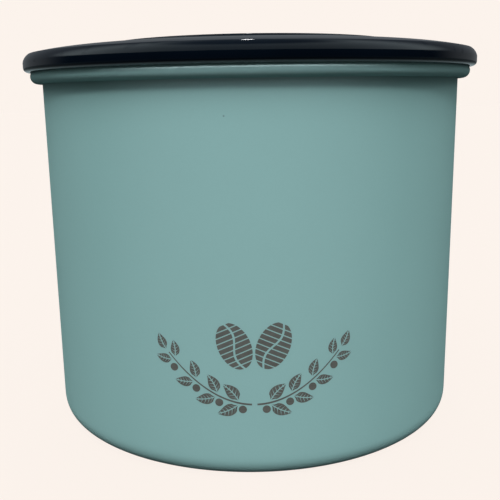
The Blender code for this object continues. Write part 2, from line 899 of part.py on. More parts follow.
def build_canister():
    """Build the body, the top lid and the inner lid with its handle and valve."""
    make_body()
    make_top_lid()
    make_top_lid_gasket()
    inner_lid = add_frame("inner_lid_frame", inner_lid_height)
    make_inner_lid_base(inner_lid)
    make_wiper_seal(inner_lid)
    make_inner_lid_cover(inner_lid)
    make_valve_plunger(inner_lid)
    make_valve_seal(inner_lid)
    make_valve_button(inner_lid)
    make_valve_spring(inner_lid)
    make_degassing_valve(inner_lid)
    make_vent_guard(inner_lid)
    make_handle_pins(inner_lid)
    pivot = add_frame("handle_pivot_frame", handle_pivot_height, inner_lid)
    make_lift_handle(pivot)


build_canister()
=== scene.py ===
"""Looks of the coffee canister: fine surfaces, finishes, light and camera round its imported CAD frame.

The origin is the centre of the base, +Z is up and the photographed front faces -Y. All sizes are in metres.
"""

import logging
import math
from abc import ABC, abstractmethod
from collections.abc import Sequence
from dataclasses import dataclass
from enum import Enum

import bmesh
import bpy
import numpy as np
from mathutils import Matrix, Vector


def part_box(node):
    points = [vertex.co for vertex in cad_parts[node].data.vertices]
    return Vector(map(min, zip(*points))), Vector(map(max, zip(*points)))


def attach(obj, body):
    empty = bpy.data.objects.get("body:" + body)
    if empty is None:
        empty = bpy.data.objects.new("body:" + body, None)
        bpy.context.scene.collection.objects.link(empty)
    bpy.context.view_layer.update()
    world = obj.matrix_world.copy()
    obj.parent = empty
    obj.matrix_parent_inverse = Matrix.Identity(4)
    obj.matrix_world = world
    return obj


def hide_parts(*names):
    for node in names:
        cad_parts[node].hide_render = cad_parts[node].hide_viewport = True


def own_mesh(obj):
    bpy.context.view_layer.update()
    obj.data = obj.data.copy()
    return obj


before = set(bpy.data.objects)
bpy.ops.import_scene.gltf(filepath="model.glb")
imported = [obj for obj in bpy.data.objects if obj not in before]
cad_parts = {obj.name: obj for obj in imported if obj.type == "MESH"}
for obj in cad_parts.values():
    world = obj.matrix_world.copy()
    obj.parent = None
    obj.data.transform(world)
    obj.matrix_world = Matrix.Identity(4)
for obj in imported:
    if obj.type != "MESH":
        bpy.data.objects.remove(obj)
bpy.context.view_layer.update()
log = logging.getLogger("canister")

contact_gap = 0.0003
merge_distance = 0.000002
quarter_turn = math.pi / 2
half_share = 0.5

# Points round an axis, for wide, middling and narrow pieces.
large_steps = 256
small_steps = 96
tiny_steps = 48

# Rounded edges: their steps, the least turn that is rounded and the share of a side that one takes.
rounding_steps = 4
least_turn = math.radians(20)
side_share = 0.45
sharp_edge_angle = math.radians(35)

# Detail of noise: how many finer layers lie on it.
plain = 1.0
soft = 2.0
rich = 3.0
fine = 4.0

# Places of the colours that a Mix node takes and gives.
mix_colour_sockets = (6, 7)
mix_colour_result = 2

Number = "Value | float"
Point = tuple[float, float]
Span = tuple[float, float]
Triple = tuple[float, float, float]
Colour = tuple[float, float, float]


class Carrier(Enum):
    """The moving bodies that a piece can ride on."""

    CANISTER = "canister"
    TOP_LID = "top_lid"
    INNER_LID = "inner_lid"
    HANDLE = "handle"
    VALVE = "valve"


class Slot(Enum):
    """The material slots of the record."""

    BODY = "body"
    LID = "lid"
    INNER_LID = "inner_lid"
    HANDLE = "handle"
    VALVE = "valve"
    SILICONE = "silicone"
    STEEL = "steel"


class Value:
    """A shader socket that is used like a number; each operator adds a Math node."""

    def __init__(self, sheet: "NodeSheet", socket: bpy.types.NodeSocket) -> None:
        """Wrap a socket of a sheet."""
        self.sheet = sheet
        self.socket = socket

    def math(self, operation: str, *others: Number) -> "Value":
        """Add a Math node with this value first.

        Args:
            operation: Name of the Math node's operation.
            others: Its second and third values.

        Returns:
            The node's result.
        """
        return self.sheet.node("ShaderNodeMath", {"operation": operation}, dict(enumerate((self, *others))))

    def reflected(self, operation: str, first: Number) -> "Value":
        """Add a Math node with this value second."""
        return self.sheet.node("ShaderNodeMath", {"operation": operation}, {0: first, 1: self})

    def __add__(self, other: Number) -> "Value":
        """This value plus another."""
        return self.math("ADD", other)

    def __radd__(self, other: Number) -> "Value":
        """Another value plus this one."""
        return self.reflected("ADD", other)

    def __sub__(self, other: Number) -> "Value":
        """This value less another."""
        return self.math("SUBTRACT", other)

    def __rsub__(self, other: Number) -> "Value":
        """Another value less this one."""
        return self.reflected("SUBTRACT", other)

    def __mul__(self, other: Number) -> "Value":
        """This value times another."""
        return self.math("MULTIPLY", other)

    def __rmul__(self, other: Number) -> "Value":
        """Another value times this one."""
        return self.reflected("MULTIPLY", other)

    def ease(self, low: float, high: float) -> "Value":
        """Go smoothly from 0 where this value is low to 1 where it is high.

        Args:
            low: Value at which the result is 0.
            high: Value at which the result is 1; it may lie below low.

        Returns:
            The eased value, held between 0 and 1.
        """
        start, end = min(low, high), max(low, high)
        rising = self.sheet.node(
            "ShaderNodeMapRange", {"interpolation_type": "SMOOTHSTEP"},
            {"Value": self, "From Min": start, "From Max": end},
        )
        return rising if low < high else 1 - rising


class NodeSheet:
    """The node tree of a material or world, filled from Python expressions."""

    def __init__(self, tree: bpy.types.NodeTree) -> None:
        """Start an empty tree."""
        self.tree = tree
        tree.nodes.clear()

    def node(self, kind: str, settings: dict | None = None, inputs: dict | None = None,
             output: int | str = 0) -> Value:
        """Add any node.

        Args:
            kind: Blender's name of the node type.
            settings: Properties that are set first.
            inputs: Numbers, colours or values for the sockets, by name or place.
            output: Socket that the result comes from.

        Returns:
            The chosen output.
        """
        made = self.tree.nodes.new(kind)
        for key, setting in (settings or {}).items():
            setattr(made, key, setting)
        for key, value in (inputs or {}).items():
            if isinstance(value, Value):
                self.tree.links.new(value.socket, made.inputs[key])
            else:
                made.inputs[key].default_value = value
        return Value(self, made.outputs[output] if made.outputs else None)

    def place(self) -> Value:
        """Object coordinates, in metres."""
        return self.node("ShaderNodeTexCoord", output="Object")

    def stretched(self, place: Value, scale: Triple) -> Value:
        """Coordinates multiplied along each axis."""
        return self.node("ShaderNodeVectorMath", {"operation": "MULTIPLY"}, {0: place, 1: scale})

    def noise(self, place: Value, scale: float, detail: float = soft) -> Value:
        """Smooth noise from 0 to 1, with scale waves for each metre."""
        return self.node("ShaderNodeTexNoise", None, {"Vector": place, "Scale": scale, "Detail": detail})

    def distance(self, place: Value, centre: Triple) -> Value:
        """Distance of each point from a centre."""
        return self.node("ShaderNodeVectorMath", {"operation": "DISTANCE"}, {0: place, 1: centre}, "Value")

    def part(self, place: Value, axis: str) -> Value:
        """One coordinate of each point, by its axis: X, Y or Z."""
        return self.node("ShaderNodeSeparateXYZ", None, {0: place}, axis)

    def height(self, place: Value) -> Value:
        """Height of each point above the base."""
        return self.part(place, "Z")

    def sheen(self, level: float, edge_level: float, full_at: float) -> Value:
        """A clear coat's weight, which goes from one level where it faces the eye to another at the rim.

        Args:
            level: Weight on a surface that faces the eye.
            edge_level: Weight on a surface that is seen edge on.
            full_at: How far the surface is turned away, from 0 to 1, where the second is reached.

        Returns:
            The weight.
        """
        turned_away = self.node("ShaderNodeLayerWeight", None, {"Blend": half_share}, "Facing")
        return turned_away.ease(0.0, full_at) * (edge_level - level) + level

    def mix(self, factor: Number, first: "Value | Colour", second: "Value | Colour") -> Value:
        """Blend two colours.

        Args:
            factor: Share of the second colour.
            first: Colour where the factor is 0.
            second: Colour where it is 1.

        Returns:
            The blended colour.
        """
        ends = [end if isinstance(end, Value) else (*end, 1.0) for end in (first, second)]
        inputs = {"Factor": factor, **dict(zip(mix_colour_sockets, ends))}
        return self.node("ShaderNodeMix", {"data_type": "RGBA"}, inputs, mix_colour_result)

    def bump(self, height: Value, depth: float, under: Value | None = None) -> Value:
        """Tilt the surface by a height map.

        Args:
            height: Map from 0 to 1.
            depth: What the whole map stands for, in metres.
            under: Normal of a bump that this one lies on.

        Returns:
            The tilted normal.
        """
        inputs = {"Height": height, "Distance": depth}
        if under is not None:
            inputs["Normal"] = under
        return self.node("ShaderNodeBump", None, inputs)


def shaded(colour: Colour, share: float) -> Colour:
    """A colour with each channel multiplied by a share."""
    return (colour[0] * share, colour[1] * share, colour[2] * share)


def new_material(name: str) -> tuple[bpy.types.Material, NodeSheet]:
    """Make an empty material.

    Args:
        name: Its name.

    Returns:
        The material and the sheet that fills it.
    """
    material = bpy.data.materials.new(name)
    material.use_nodes = True
    return material, NodeSheet(material.node_tree)


class Finish(ABC):
    """A finish of the canister: each kind gives its name and the sockets of its Principled shader."""

    name: str

    @abstractmethod
    def sockets(self, sheet: NodeSheet, place: Value) -> dict[str, Number]:
        """Work out the shader's sockets."""

    def build(self) -> bpy.types.Material:
        """Make the material.

        Returns:
            The material, ended in its Principled shader.
        """
        material, sheet = new_material(self.name)
        shader = sheet.node("ShaderNodeBsdfPrincipled", None, self.sockets(sheet, sheet.place()))
        sheet.node("ShaderNodeOutputMaterial", None, {"Surface": shader})
        return material


@dataclass(frozen=True)
class PowderCoat(Finish):
    """Satin seafoam powder coat: faint clouding, a fine orange peel and scuffs where it stands."""

    name: str = "seafoam_powder_coat"
    colour: Colour = (0.216, 0.387, 0.381)
    roughness: float = 0.60
    sheen: float = 0.90
    edge_sheen: float = 0.02
    sheen_end: float = 0.40
    sheen_roughness: float = 0.33
    coat_index: float = 1.90
    cloud_scale: float = 45.0
    cloud_share: float = 0.030
    cloud_roughness: float = 0.08
    speck_scale: float = 2600.0
    speck_share: float = 0.035
    peel_scale: float = 900.0
    peel_depth: float = 0.000014
    grain_scale: float = 3800.0
    grain_depth: float = 0.000004
    scuff_top: float = 0.0016
    scuff_scale: float = 420.0
    scuff_shares: Span = (0.50, 0.66)
    scuff_roughness: float = 0.15
    scuff_colour: Colour = (0.135, 0.170, 0.166)
    nib_place: Triple = (-0.0056, -0.0562, 0.0837)
    nib_radius: float = 0.00032
    nib_share: float = 0.35

    def sockets(self, sheet: NodeSheet, place: Value) -> dict[str, Number]:
        """Cloud and speckle the paint, scuff its foot, set its one dark nib and add the peel.

        Args:
            sheet: The material's nodes.
            place: Object coordinates.

        Returns:
            The shader's sockets.
        """
        cloud = sheet.noise(place, self.cloud_scale, rich)
        speck = sheet.noise(place, self.speck_scale)
        lightness = cloud * self.cloud_share + speck * self.speck_share
        span = self.cloud_share + self.speck_share
        dark = shaded(self.colour, 1 - span / 2)
        light = shaded(self.colour, 1 + span / 2)
        paint = sheet.mix(lightness.ease(0.0, span), dark, light)
        low = sheet.height(place).ease(self.scuff_top, 0.0)
        scuff = low * sheet.noise(place, self.scuff_scale, fine).ease(*self.scuff_shares)
        paint = sheet.mix(scuff, paint, self.scuff_colour)
        nib = sheet.distance(place, self.nib_place).ease(self.nib_radius, 0.0)
        paint = sheet.mix(nib, paint, shaded(self.colour, self.nib_share))
        peel = sheet.bump(sheet.noise(place, self.peel_scale, plain), self.peel_depth)
        surface = sheet.bump(sheet.noise(place, self.grain_scale), self.grain_depth, peel)
        roughness = self.roughness + (cloud - half_share) * self.cloud_roughness
        return {
            "Base Color": paint, "Roughness": roughness + scuff * self.scuff_roughness,
            "Normal": surface, "Specular IOR Level": 0.0,
            "Coat Weight": sheet.sheen(self.sheen, self.edge_sheen, self.sheen_end),
            "Coat Roughness": self.sheen_roughness, "Coat IOR": self.coat_index,
        }


@dataclass(frozen=True)
class BrushedSteel(Finish):
    """Stainless steel with fine marks that run level round the cup, or along a wire."""

    name: str = "brushed_steel"
    colour: Colour = (0.660, 0.650, 0.630)
    roughness: float = 0.30
    across: float = 60.0
    upward: float = 5200.0
    mark_depth: float = 0.000004
    mark_shares: Span = (0.25, 0.75)
    mark_roughness: float = 0.16
    stain_scale: float = 38.0
    stain_roughness: float = 0.12
    dark_share: float = 0.80
    light_share: float = 1.12

    def sockets(self, sheet: NodeSheet, place: Value) -> dict[str, Number]:
        """Draw the marks by noise that is squeezed upward, and vary the gloss by stains.

        Args:
            sheet: The material's nodes.
            place: Object coordinates.

        Returns:
            The shader's sockets.
        """
        along = sheet.stretched(place, (self.across, self.across, self.upward))
        marks = sheet.noise(along, 1.0, rich)
        stain = sheet.noise(place, self.stain_scale, rich)
        dark = shaded(self.colour, self.dark_share)
        light = shaded(self.colour, self.light_share)
        roughness = self.roughness + (marks - half_share) * self.mark_roughness
        return {
            "Base Color": sheet.mix(marks.ease(*self.mark_shares), dark, light),
            "Roughness": roughness + (stain - half_share) * self.stain_roughness,
            "Metallic": 1.0, "Normal": sheet.bump(marks, self.mark_depth),
        }


@dataclass(frozen=True)
class SmokePlastic(Finish):
    """Glossy smoke-black plastic: slightly wavy, with hairline rubs, and a pale colour painted on the thin
    lip as its highlight.
    """

    name: str = "smoke_plastic"
    colour: Colour = (0.0010, 0.0028, 0.0058)
    roughness: float = 0.045
    gloss: float = 0.042
    edge_gloss: float = 0.16
    gloss_end: float = 0.55
    wave_scale: float = 60.0
    wave_depth: float = 0.000020
    haze_scale: float = 30.0
    haze_shares: Span = (0.3, 0.7)
    haze_share: float = 0.30
    haze_roughness: float = 0.03
    rub_stretch: Triple = (0.16, 1.0, 1.0)
    rub_scale: float = 480.0
    rub_shares: Span = (0.60, 0.72)
    rub_share: float = 0.22
    rub_roughness: float = 0.05
    dark_share: float = 0.85
    light_share: float = 1.25
    # Pale colour painted on the lip at the foot of the edge: a painted highlight, not the plastic's own
    # colour.
    painted_lip_highlight_colour: Colour = (0.130, 0.170, 0.190)
    lip_gloss: float = 0.60
    lip_foot: float = 0.09435
    lip_top: float = 0.09490

    def sockets(self, sheet: NodeSheet, place: Value) -> dict[str, Number]:
        """Haze and rub the gloss, and paint a pale highlight on the lip at the foot of the edge, where the
        gloss is also raised.

        Args:
            sheet: The material's nodes.
            place: Object coordinates.

        Returns:
            The shader's sockets.
        """
        wave = sheet.noise(place, self.wave_scale, plain)
        haze = sheet.noise(place, self.haze_scale, rich)
        rubs = sheet.noise(sheet.stretched(place, self.rub_stretch), self.rub_scale)
        rub = rubs.ease(*self.rub_shares)
        dark = shaded(self.colour, self.dark_share)
        light = shaded(self.colour, self.light_share)
        plastic = sheet.mix(haze.ease(*self.haze_shares), dark, light)
        # The lip's band gets the painted highlight colour and more gloss.
        lip = sheet.height(place).ease(self.lip_top, self.lip_foot)
        plastic = sheet.mix(lip, plastic, self.painted_lip_highlight_colour)
        roughness = self.roughness + (haze - half_share) * self.haze_roughness + rub * self.rub_roughness
        gloss = sheet.sheen(self.gloss, self.edge_gloss, self.gloss_end) * (1 - rub * self.rub_share)
        gloss = gloss * (1 + (haze - half_share) * self.haze_share) + lip * self.lip_gloss
        return {
            "Base Color": plastic, "Roughness": roughness, "Specular IOR Level": 0.0,
            "Coat Weight": gloss, "Coat Roughness": self.roughness,
            "Normal": sheet.bump(wave, self.wave_depth),
        }


@dataclass(frozen=True)
class MouldedPlastic(Finish):
    """Satin moulded plastic with the fine spark texture of its mould and paler rubbed spots."""

    name: str
    colour: Colour
    roughness: float
    gloss: float = 0.25
    texture_scale: float = 2400.0
    texture_depth: float = 0.000012
    texture_roughness: float = 0.12
    rub_scale: float = 70.0
    rub_shares: Span = (0.45, 0.75)
    rub_polish: float = 0.06
    dark_share: float = 0.92
    light_share: float = 1.22

    def sockets(self, sheet: NodeSheet, place: Value) -> dict[str, Number]:
        """Lay the mould's texture on, and make rubbed spots paler and smoother.

        Args:
            sheet: The material's nodes.
            place: Object coordinates.

        Returns:
            The shader's sockets.
        """
        texture = sheet.noise(place, self.texture_scale)
        rub = sheet.noise(place, self.rub_scale, fine).ease(*self.rub_shares)
        dark = shaded(self.colour, self.dark_share)
        light = shaded(self.colour, self.light_share)
        roughness = self.roughness + (texture - half_share) * self.texture_roughness
        return {
            "Base Color": sheet.mix(rub, dark, light), "Roughness": roughness - rub * self.rub_polish,
            "Specular IOR Level": self.gloss, "Normal": sheet.bump(texture, self.texture_depth),
        }


@dataclass(frozen=True)
class Silicone(Finish):
    """Matt silicone with a talc bloom that gathers in patches."""

    name: str = "grey_silicone"
    colour: Colour = (0.105, 0.114, 0.118)
    roughness: float = 0.62
    bloom_scale: float = 130.0
    bloom_shares: Span = (0.40, 0.72)
    bloom_roughness: float = 0.12
    skin_scale: float = 1500.0
    skin_depth: float = 0.000010
    dark_share: float = 0.88
    light_share: float = 1.30

    def sockets(self, sheet: NodeSheet, place: Value) -> dict[str, Number]:
        """Let the bloom make the rubber paler and rougher over a fine skin.

        Args:
            sheet: The material's nodes.
            place: Object coordinates.

        Returns:
            The shader's sockets.
        """
        bloom = sheet.noise(place, self.bloom_scale, rich).ease(*self.bloom_shares)
        skin = sheet.noise(place, self.skin_scale)
        dark = shaded(self.colour, self.dark_share)
        light = shaded(self.colour, self.light_share)
        return {
            "Base Color": sheet.mix(bloom, dark, light),
            "Roughness": self.roughness + bloom * self.bloom_roughness,
            "Normal": sheet.bump(skin, self.skin_depth),
        }


@dataclass(frozen=True)
class EtchedSteel(Finish):
    """Steel laid bare by a laser: warm grey, matt, with the beam's level passes."""

    name: str = "etched_steel"
    colour: Colour = (0.085, 0.082, 0.073)
    roughness: float = 0.58
    metal_share: float = 0.35
    pass_stretch: Triple = (300.0, 300.0, 9000.0)
    pass_depth: float = 0.000003
    burn_scale: float = 900.0
    burn_roughness: float = 0.2
    tone_shares: Span = (0.3, 0.7)
    dark_share: float = 0.82
    light_share: float = 1.20

    def sockets(self, sheet: NodeSheet, place: Value) -> dict[str, Number]:
        """Draw the passes by noise that is squeezed upward, and burn the metal unevenly.

        Args:
            sheet: The material's nodes.
            place: Object coordinates.

        Returns:
            The shader's sockets.
        """
        passes = sheet.noise(sheet.stretched(place, self.pass_stretch), 1.0, plain)
        burn = sheet.noise(place, self.burn_scale, rich)
        tone = passes * half_share + burn * half_share
        dark = shaded(self.colour, self.dark_share)
        light = shaded(self.colour, self.light_share)
        return {
            "Base Color": sheet.mix(tone.ease(*self.tone_shares), dark, light),
            "Roughness": self.roughness + (burn - half_share) * self.burn_roughness,
            "Metallic": self.metal_share, "Normal": sheet.bump(passes, self.pass_depth),
        }


bright_steel = BrushedSteel(name="bright_steel", roughness=0.22, across=900.0, upward=900.0)
charcoal_plastic = MouldedPlastic(name="charcoal_plastic", colour=(0.030, 0.033, 0.036), roughness=0.42)
black_plastic = MouldedPlastic(name="black_plastic", colour=(0.012, 0.013, 0.014), roughness=0.30)
grey_plastic = MouldedPlastic(name="grey_plastic", colour=(0.180, 0.190, 0.195), roughness=0.45)


@dataclass
class Shell:
    """Points and faces of a surface, with the row of its grid that each face lies in."""

    points: np.ndarray
    faces: list[list[int]]
    rows: np.ndarray


def arc(centre: Point, radius: float, start: float, end: float, steps: int, height: float | None = None
        ) -> np.ndarray:
    """Points of an arc: the centre plus radius times cosine, and radius or height times sine.

    Args:
        centre: Its centre.
        radius: Its reach across.
        start: Angle of the first point, counter-clockwise from the first axis.
        end: Angle of the last point.
        steps: Steps between them.
        height: Its reach along the second axis, where that differs from the radius.

    Returns:
        The points, one row each.
    """
    angles = np.linspace(start, end, steps + 1)
    tall = radius if height is None else height
    return np.stack([centre[0] + radius * np.cos(angles), centre[1] + tall * np.sin(angles)], axis=1)


def run(start: Point, end: Point, steps: int) -> np.ndarray:
    """Points spread evenly on a straight line."""
    return np.linspace(start, end, steps + 1)


def eased_run(start: Point, end: Point, steps: int) -> np.ndarray:
    """Points of a step whose height follows half a cosine wave, level at both ends.

    Args:
        start: First point.
        end: Last point.
        steps: Steps between them.

    Returns:
        The points, one row each.
    """
    share = np.linspace(0, 1, steps + 1)
    rise = (1 - np.cos(math.pi * share)) / 2
    across = start[0] + (end[0] - start[0]) * share
    return np.stack([across, start[1] + (end[1] - start[1]) * rise], axis=1)


def joined(*runs: np.ndarray | Sequence[Point]) -> np.ndarray:
    """Put runs of points end to end.

    Args:
        runs: Rows of points in their order.

    Returns:
        The points, without one that lies on the one before it.
    """
    points = np.vstack([np.asarray(item, dtype=float) for item in runs])
    apart = np.linalg.norm(np.diff(points, axis=0), axis=1) > merge_distance
    return points[np.concatenate([[True], apart])]


def softened(profile: np.ndarray, reach: float, closed: bool) -> np.ndarray:
    """Round each sharp corner of a profile.

    A corner P between points S and E on its two sides becomes the parabola
    (1 - t)^2 S + 2 t (1 - t) P + t^2 E. S and E lie a reach away, or less than half a side.

    Args:
        profile: Corners, one row each.
        reach: How far from the corner the rounding starts.
        closed: Whether the last point joins the first.

    Returns:
        The rounded profile.
    """
    before = np.roll(profile, 1, axis=0) - profile
    after = np.roll(profile, -1, axis=0) - profile
    long_before = np.maximum(np.linalg.norm(before, axis=1), merge_distance)
    long_after = np.maximum(np.linalg.norm(after, axis=1), merge_distance)
    cosine = -(before * after).sum(axis=1) / (long_before * long_after)
    leg = np.minimum(reach, side_share * np.minimum(long_before, long_after))
    leg = np.where(cosine < math.cos(least_turn), leg, 0)
    if not closed:
        leg[[0, -1]] = 0
    start = profile + before * (leg / long_before)[:, None]
    end = profile + after * (leg / long_after)[:, None]
    share = np.linspace(0, 1, rounding_steps + 1)[None, :, None]
    bends = (1 - share) ** 2 * start[:, None] + 2 * share * (1 - share) * profile[:, None]
    rounded = joined((bends + share ** 2 * end[:, None]).reshape(-1, 2))
    if closed and np.linalg.norm(rounded[0] - rounded[-1]) < merge_distance:
        rounded = rounded[:-1]
    return rounded


def grid_quads(rows: int, columns: int, wrap_rows: bool) -> tuple[np.ndarray, np.ndarray]:
    """Lay quads between the rows of a grid whose columns close on themselves.

    Args:
        rows: Rows of points.
        columns: Points in a row.
        wrap_rows: Whether the last row joins the first.

    Returns:
        The corners of each quad, and the row that it starts from.
    """
    lower = np.arange(rows if wrap_rows else rows - 1)
    row, column = np.meshgrid(lower, np.arange(columns), indexing="ij")
    upper = (row + 1) % rows
    across = (column + 1) % columns
    quads = np.stack([
        row * columns + column, row * columns + across, upper * columns + across, upper * columns + column,
    ], axis=-1)
    return quads.reshape(-1, 4), row.ravel()


def turned(profile: np.ndarray, steps: int, closed: bool) -> Shell:
    """Turn a profile round Z: x is radius times cosine, y radius times sine, z the height.

    Args:
        profile: Radius and height of each point; an open one has both ends on the axis.
        steps: Points round the axis.
        closed: Whether the profile is a loop clear of the axis.

    Returns:
        The surface, with one point at each pole.
    """
    angles = np.arange(steps) * math.tau / steps
    ring = profile if closed else profile[1:-1]
    heights = np.broadcast_to(ring[:, 1:], (len(ring), steps))
    points = np.stack([ring[:, :1] * np.cos(angles), ring[:, :1] * np.sin(angles), heights], axis=-1)
    points = points.reshape(-1, 3)
    quads, rows = grid_quads(len(ring), steps, closed)
    faces = quads.tolist()
    if not closed:
        here = np.arange(steps)
        following = (here + 1) % steps
        first, last = len(points), len(points) + 1
        last_row = (len(ring) - 1) * steps
        faces += np.stack([np.full(steps, first), following, here], axis=1).tolist()
        faces += np.stack([np.full(steps, last), last_row + here, last_row + following], axis=1).tolist()
        rows = np.concatenate([rows, np.zeros(steps, int), np.full(steps, len(ring))])
        points = np.vstack([points, [(0, 0, profile[0, 1]), (0, 0, profile[-1, 1])]])
    return Shell(points, faces, rows)


def capped(sections: np.ndarray) -> Shell:
    """Close a row of sections with a flat face on the first and the last.

    Args:
        sections: Points of each closed section, section by section.

    Returns:
        The closed surface.
    """
    count, columns = sections.shape[:2]
    quads, rows = grid_quads(count, columns, False)
    last = (count - 1) * columns
    ends = [list(range(columns)), list(range(last, last + columns))]
    return Shell(sections.reshape(-1, 3), quads.tolist() + ends, np.append(rows, [0, 0]))


def slab(outline: np.ndarray, start: float, end: float, axes: Sequence[Sequence[float]], edge: float
         ) -> Shell:
    """Carry a flat outline along an axis, with its two rims rounded.

    Near a face the outline is drawn in along its normals by edge (1 - sin a), at the depth
    edge (1 - cos a), while a goes from 0 to a quarter turn.

    Args:
        outline: Corners in the plane, counter-clockwise.
        start: Place of the first face along the axis.
        end: Place of the last face.
        axes: Directions of the outline's two coordinates and of the axis.
        edge: Radius of the rims.

    Returns:
        The closed surface.
    """
    along = np.roll(outline, -1, axis=0) - np.roll(outline, 1, axis=0)
    along = along / np.linalg.norm(along, axis=1)[:, None]
    outward = np.stack([along[:, 1], -along[:, 0]], axis=1)
    angles = np.linspace(0, quarter_turn, rounding_steps + 1)
    inset = edge * (1 - np.sin(angles))
    depth = edge * (1 - np.cos(angles))
    insets = np.concatenate([inset, inset[::-1]])
    depths = np.concatenate([start + depth, end - depth[::-1]])
    flat = outline[None] - outward[None] * insets[:, None, None]
    across, up, through = (np.asarray(axis, dtype=float) for axis in axes)
    sections = flat[..., :1] * across + flat[..., 1:] * up + depths[:, None, None] * through
    return capped(sections)


def along_x(shell: Shell, side: int) -> Shell:
    """Turn a shell's +Z axis to +X or -X by a quarter turn about Y."""
    x, y, z = shell.points.T
    return Shell(np.stack([side * z, y, -side * x], axis=1), shell.faces, shell.rows)


def moved(shell: Shell, offset: Triple) -> Shell:
    """A shell shifted by an offset."""
    return Shell(shell.points + np.asarray(offset), shell.faces, shell.rows)


def combined(*shells: Shell) -> Shell:
    """Put several shells in one.

    Args:
        shells: The shells in their order.

    Returns:
        All their points and faces.
    """
    starts = np.cumsum([0, *(len(shell.points) for shell in shells[:-1])])
    faces = [
        [corner + int(start) for corner in face]
        for shell, start in zip(shells, starts) for face in shell.faces
    ]
    return Shell(
        np.vstack([shell.points for shell in shells]), faces,
        np.concatenate([shell.rows for shell in shells]),
    )


def add_piece(name: str, shell: Shell, finishes: Sequence[bpy.types.Material], carrier: Carrier,
              stands_for: Sequence[str] = (), finish_of_face: np.ndarray | None = None
              ) -> bpy.types.Object:
    """Put a shell into the scene as a piece that rides on a body.

    Args:
        name: Name of the piece.
        shell: Its surface.
        finishes: Its materials.
        carrier: Body that it moves with.
        stands_for: CAD nodes that it replaces.
        finish_of_face: Which of the finishes each face has, or none for the first.

    Returns:
        The piece.
    """
    mesh = bpy.data.meshes.new(name)
    mesh.from_pydata(shell.points.tolist(), [], shell.faces)
    for finish in finishes:
        mesh.materials.append(finish)
    if finish_of_face is not None:
        mesh.polygons.foreach_set("material_index", finish_of_face.astype(np.int32))
    form = bmesh.new()
    form.from_mesh(mesh)
    bmesh.ops.recalc_face_normals(form, faces=form.faces)
    form.to_mesh(mesh)
    form.free()
    mesh.shade_smooth()
    mesh.set_sharp_from_angle(angle=sharp_edge_angle)
    piece = bpy.data.objects.new(name, mesh)
    bpy.context.scene.collection.objects.link(piece)
    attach(piece, carrier.value)
    if stands_for:
        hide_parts(*stands_for)
    return piece


@dataclass
class CanisterBody:
    """The drawn steel cup, coated outside and on its rolled rim, bare steel inside."""

    wall_radius: float = 0.0565
    steel: float = 0.0007
    corner_width: float = 0.0080
    corner_height: float = 0.0062
    corner_power: float = 2.9
    pole_radius: float = 0.0030
    recess_radius: float = 0.0400
    recess_depth: float = 0.0012
    recess_slope: float = 0.0030
    curl_radius: float = 0.00185
    curl_end: float = math.radians(-115)
    edge: float = 0.0002
    corner_points: int = 20
    wall_steps: int = 20
    floor_steps: int = 10
    slope_steps: int = 8
    curl_steps: int = 30
    curl_inner_steps: int = 24

    @property
    def inner_radius(self) -> float:
        """Radius of the inside of the wall."""
        return self.wall_radius - self.steel

    @property
    def recess_start(self) -> float:
        """Radius at which the flat middle of the base ends."""
        return self.recess_radius - self.recess_slope

    @property
    def curl_centre(self) -> Point:
        """Centre of the rolled rim's section."""
        rim_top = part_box("canister_body")[1].z
        return (self.inner_radius + self.curl_radius, rim_top - self.curl_radius)

    def corner(self, inset: float) -> np.ndarray:
        """The base corner from top to bottom: a quarter of a superellipse.

        Its width is multiplied by the sine of the angle and its height by the cosine, each to
        the power 2 over the corner's power.

        Args:
            inset: How far it is moved in from the outside.

        Returns:
            Radius and height of each point.
        """
        angles = np.linspace(quarter_turn, 0, self.corner_points)
        exponent = 2 / self.corner_power
        width = self.corner_width - inset
        height = self.corner_height - inset
        return np.stack([
            self.wall_radius - self.corner_width + width * np.sin(angles) ** exponent,
            self.corner_height - height * np.cos(angles) ** exponent,
        ], axis=1)

    def inside(self) -> np.ndarray:
        """The inside, from the axis over the floor and up the wall.

        Returns:
            Radius and height of each point.
        """
        floor_top = self.recess_depth + self.steel
        wall_top = self.curl_centre[1]
        return joined(
            [(0, floor_top)],
            run((self.pole_radius, floor_top), (self.recess_start, floor_top), self.floor_steps),
            eased_run((self.recess_start, floor_top), (self.recess_radius, self.steel), self.slope_steps),
            self.corner(self.steel)[::-1],
            run((self.inner_radius, self.corner_height), (self.inner_radius, wall_top), self.wall_steps),
        )

    def curl(self) -> np.ndarray:
        """The rolled rim: out over the top, round the free edge and back under the sheet.

        Returns:
            Radius and height of each point.
        """
        centre = self.curl_centre
        return joined(
            arc(centre, self.curl_radius, math.pi, self.curl_end, self.curl_steps),
            arc(centre, self.curl_radius - self.steel, self.curl_end, math.pi, self.curl_inner_steps),
        )

    def outside(self) -> np.ndarray:
        """The outside, from the rim down the wall and under the base to the axis.

        Returns:
            Radius and height of each point.
        """
        wall_top = self.curl_centre[1]
        depth = self.recess_depth
        return joined(
            run((self.wall_radius, wall_top), (self.wall_radius, self.corner_height), self.wall_steps),
            self.corner(0),
            eased_run((self.recess_radius, 0), (self.recess_start, depth), self.slope_steps),
            run((self.recess_start, depth), (self.pole_radius, depth), self.floor_steps),
            [(0, depth)],
        )

    def build(self, coat: bpy.types.Material, steel: bpy.types.Material) -> list[bpy.types.Object]:
        """Make the cup.

        Args:
            coat: Finish of the outside and the rim.
            steel: Finish of the inside.

        Returns:
            The cup.
        """
        inside = self.inside()
        profile = joined(inside, self.curl(), self.outside())
        shell = turned(softened(profile, self.edge, False), large_steps, False)
        steel_rows = len(softened(inside, self.edge, False)) - 2
        bare = np.where(shell.rows < steel_rows, 1, 0)
        return [add_piece(
            "steel_cup", shell, [coat, steel], Carrier.CANISTER, ["canister_body"], bare
        )]


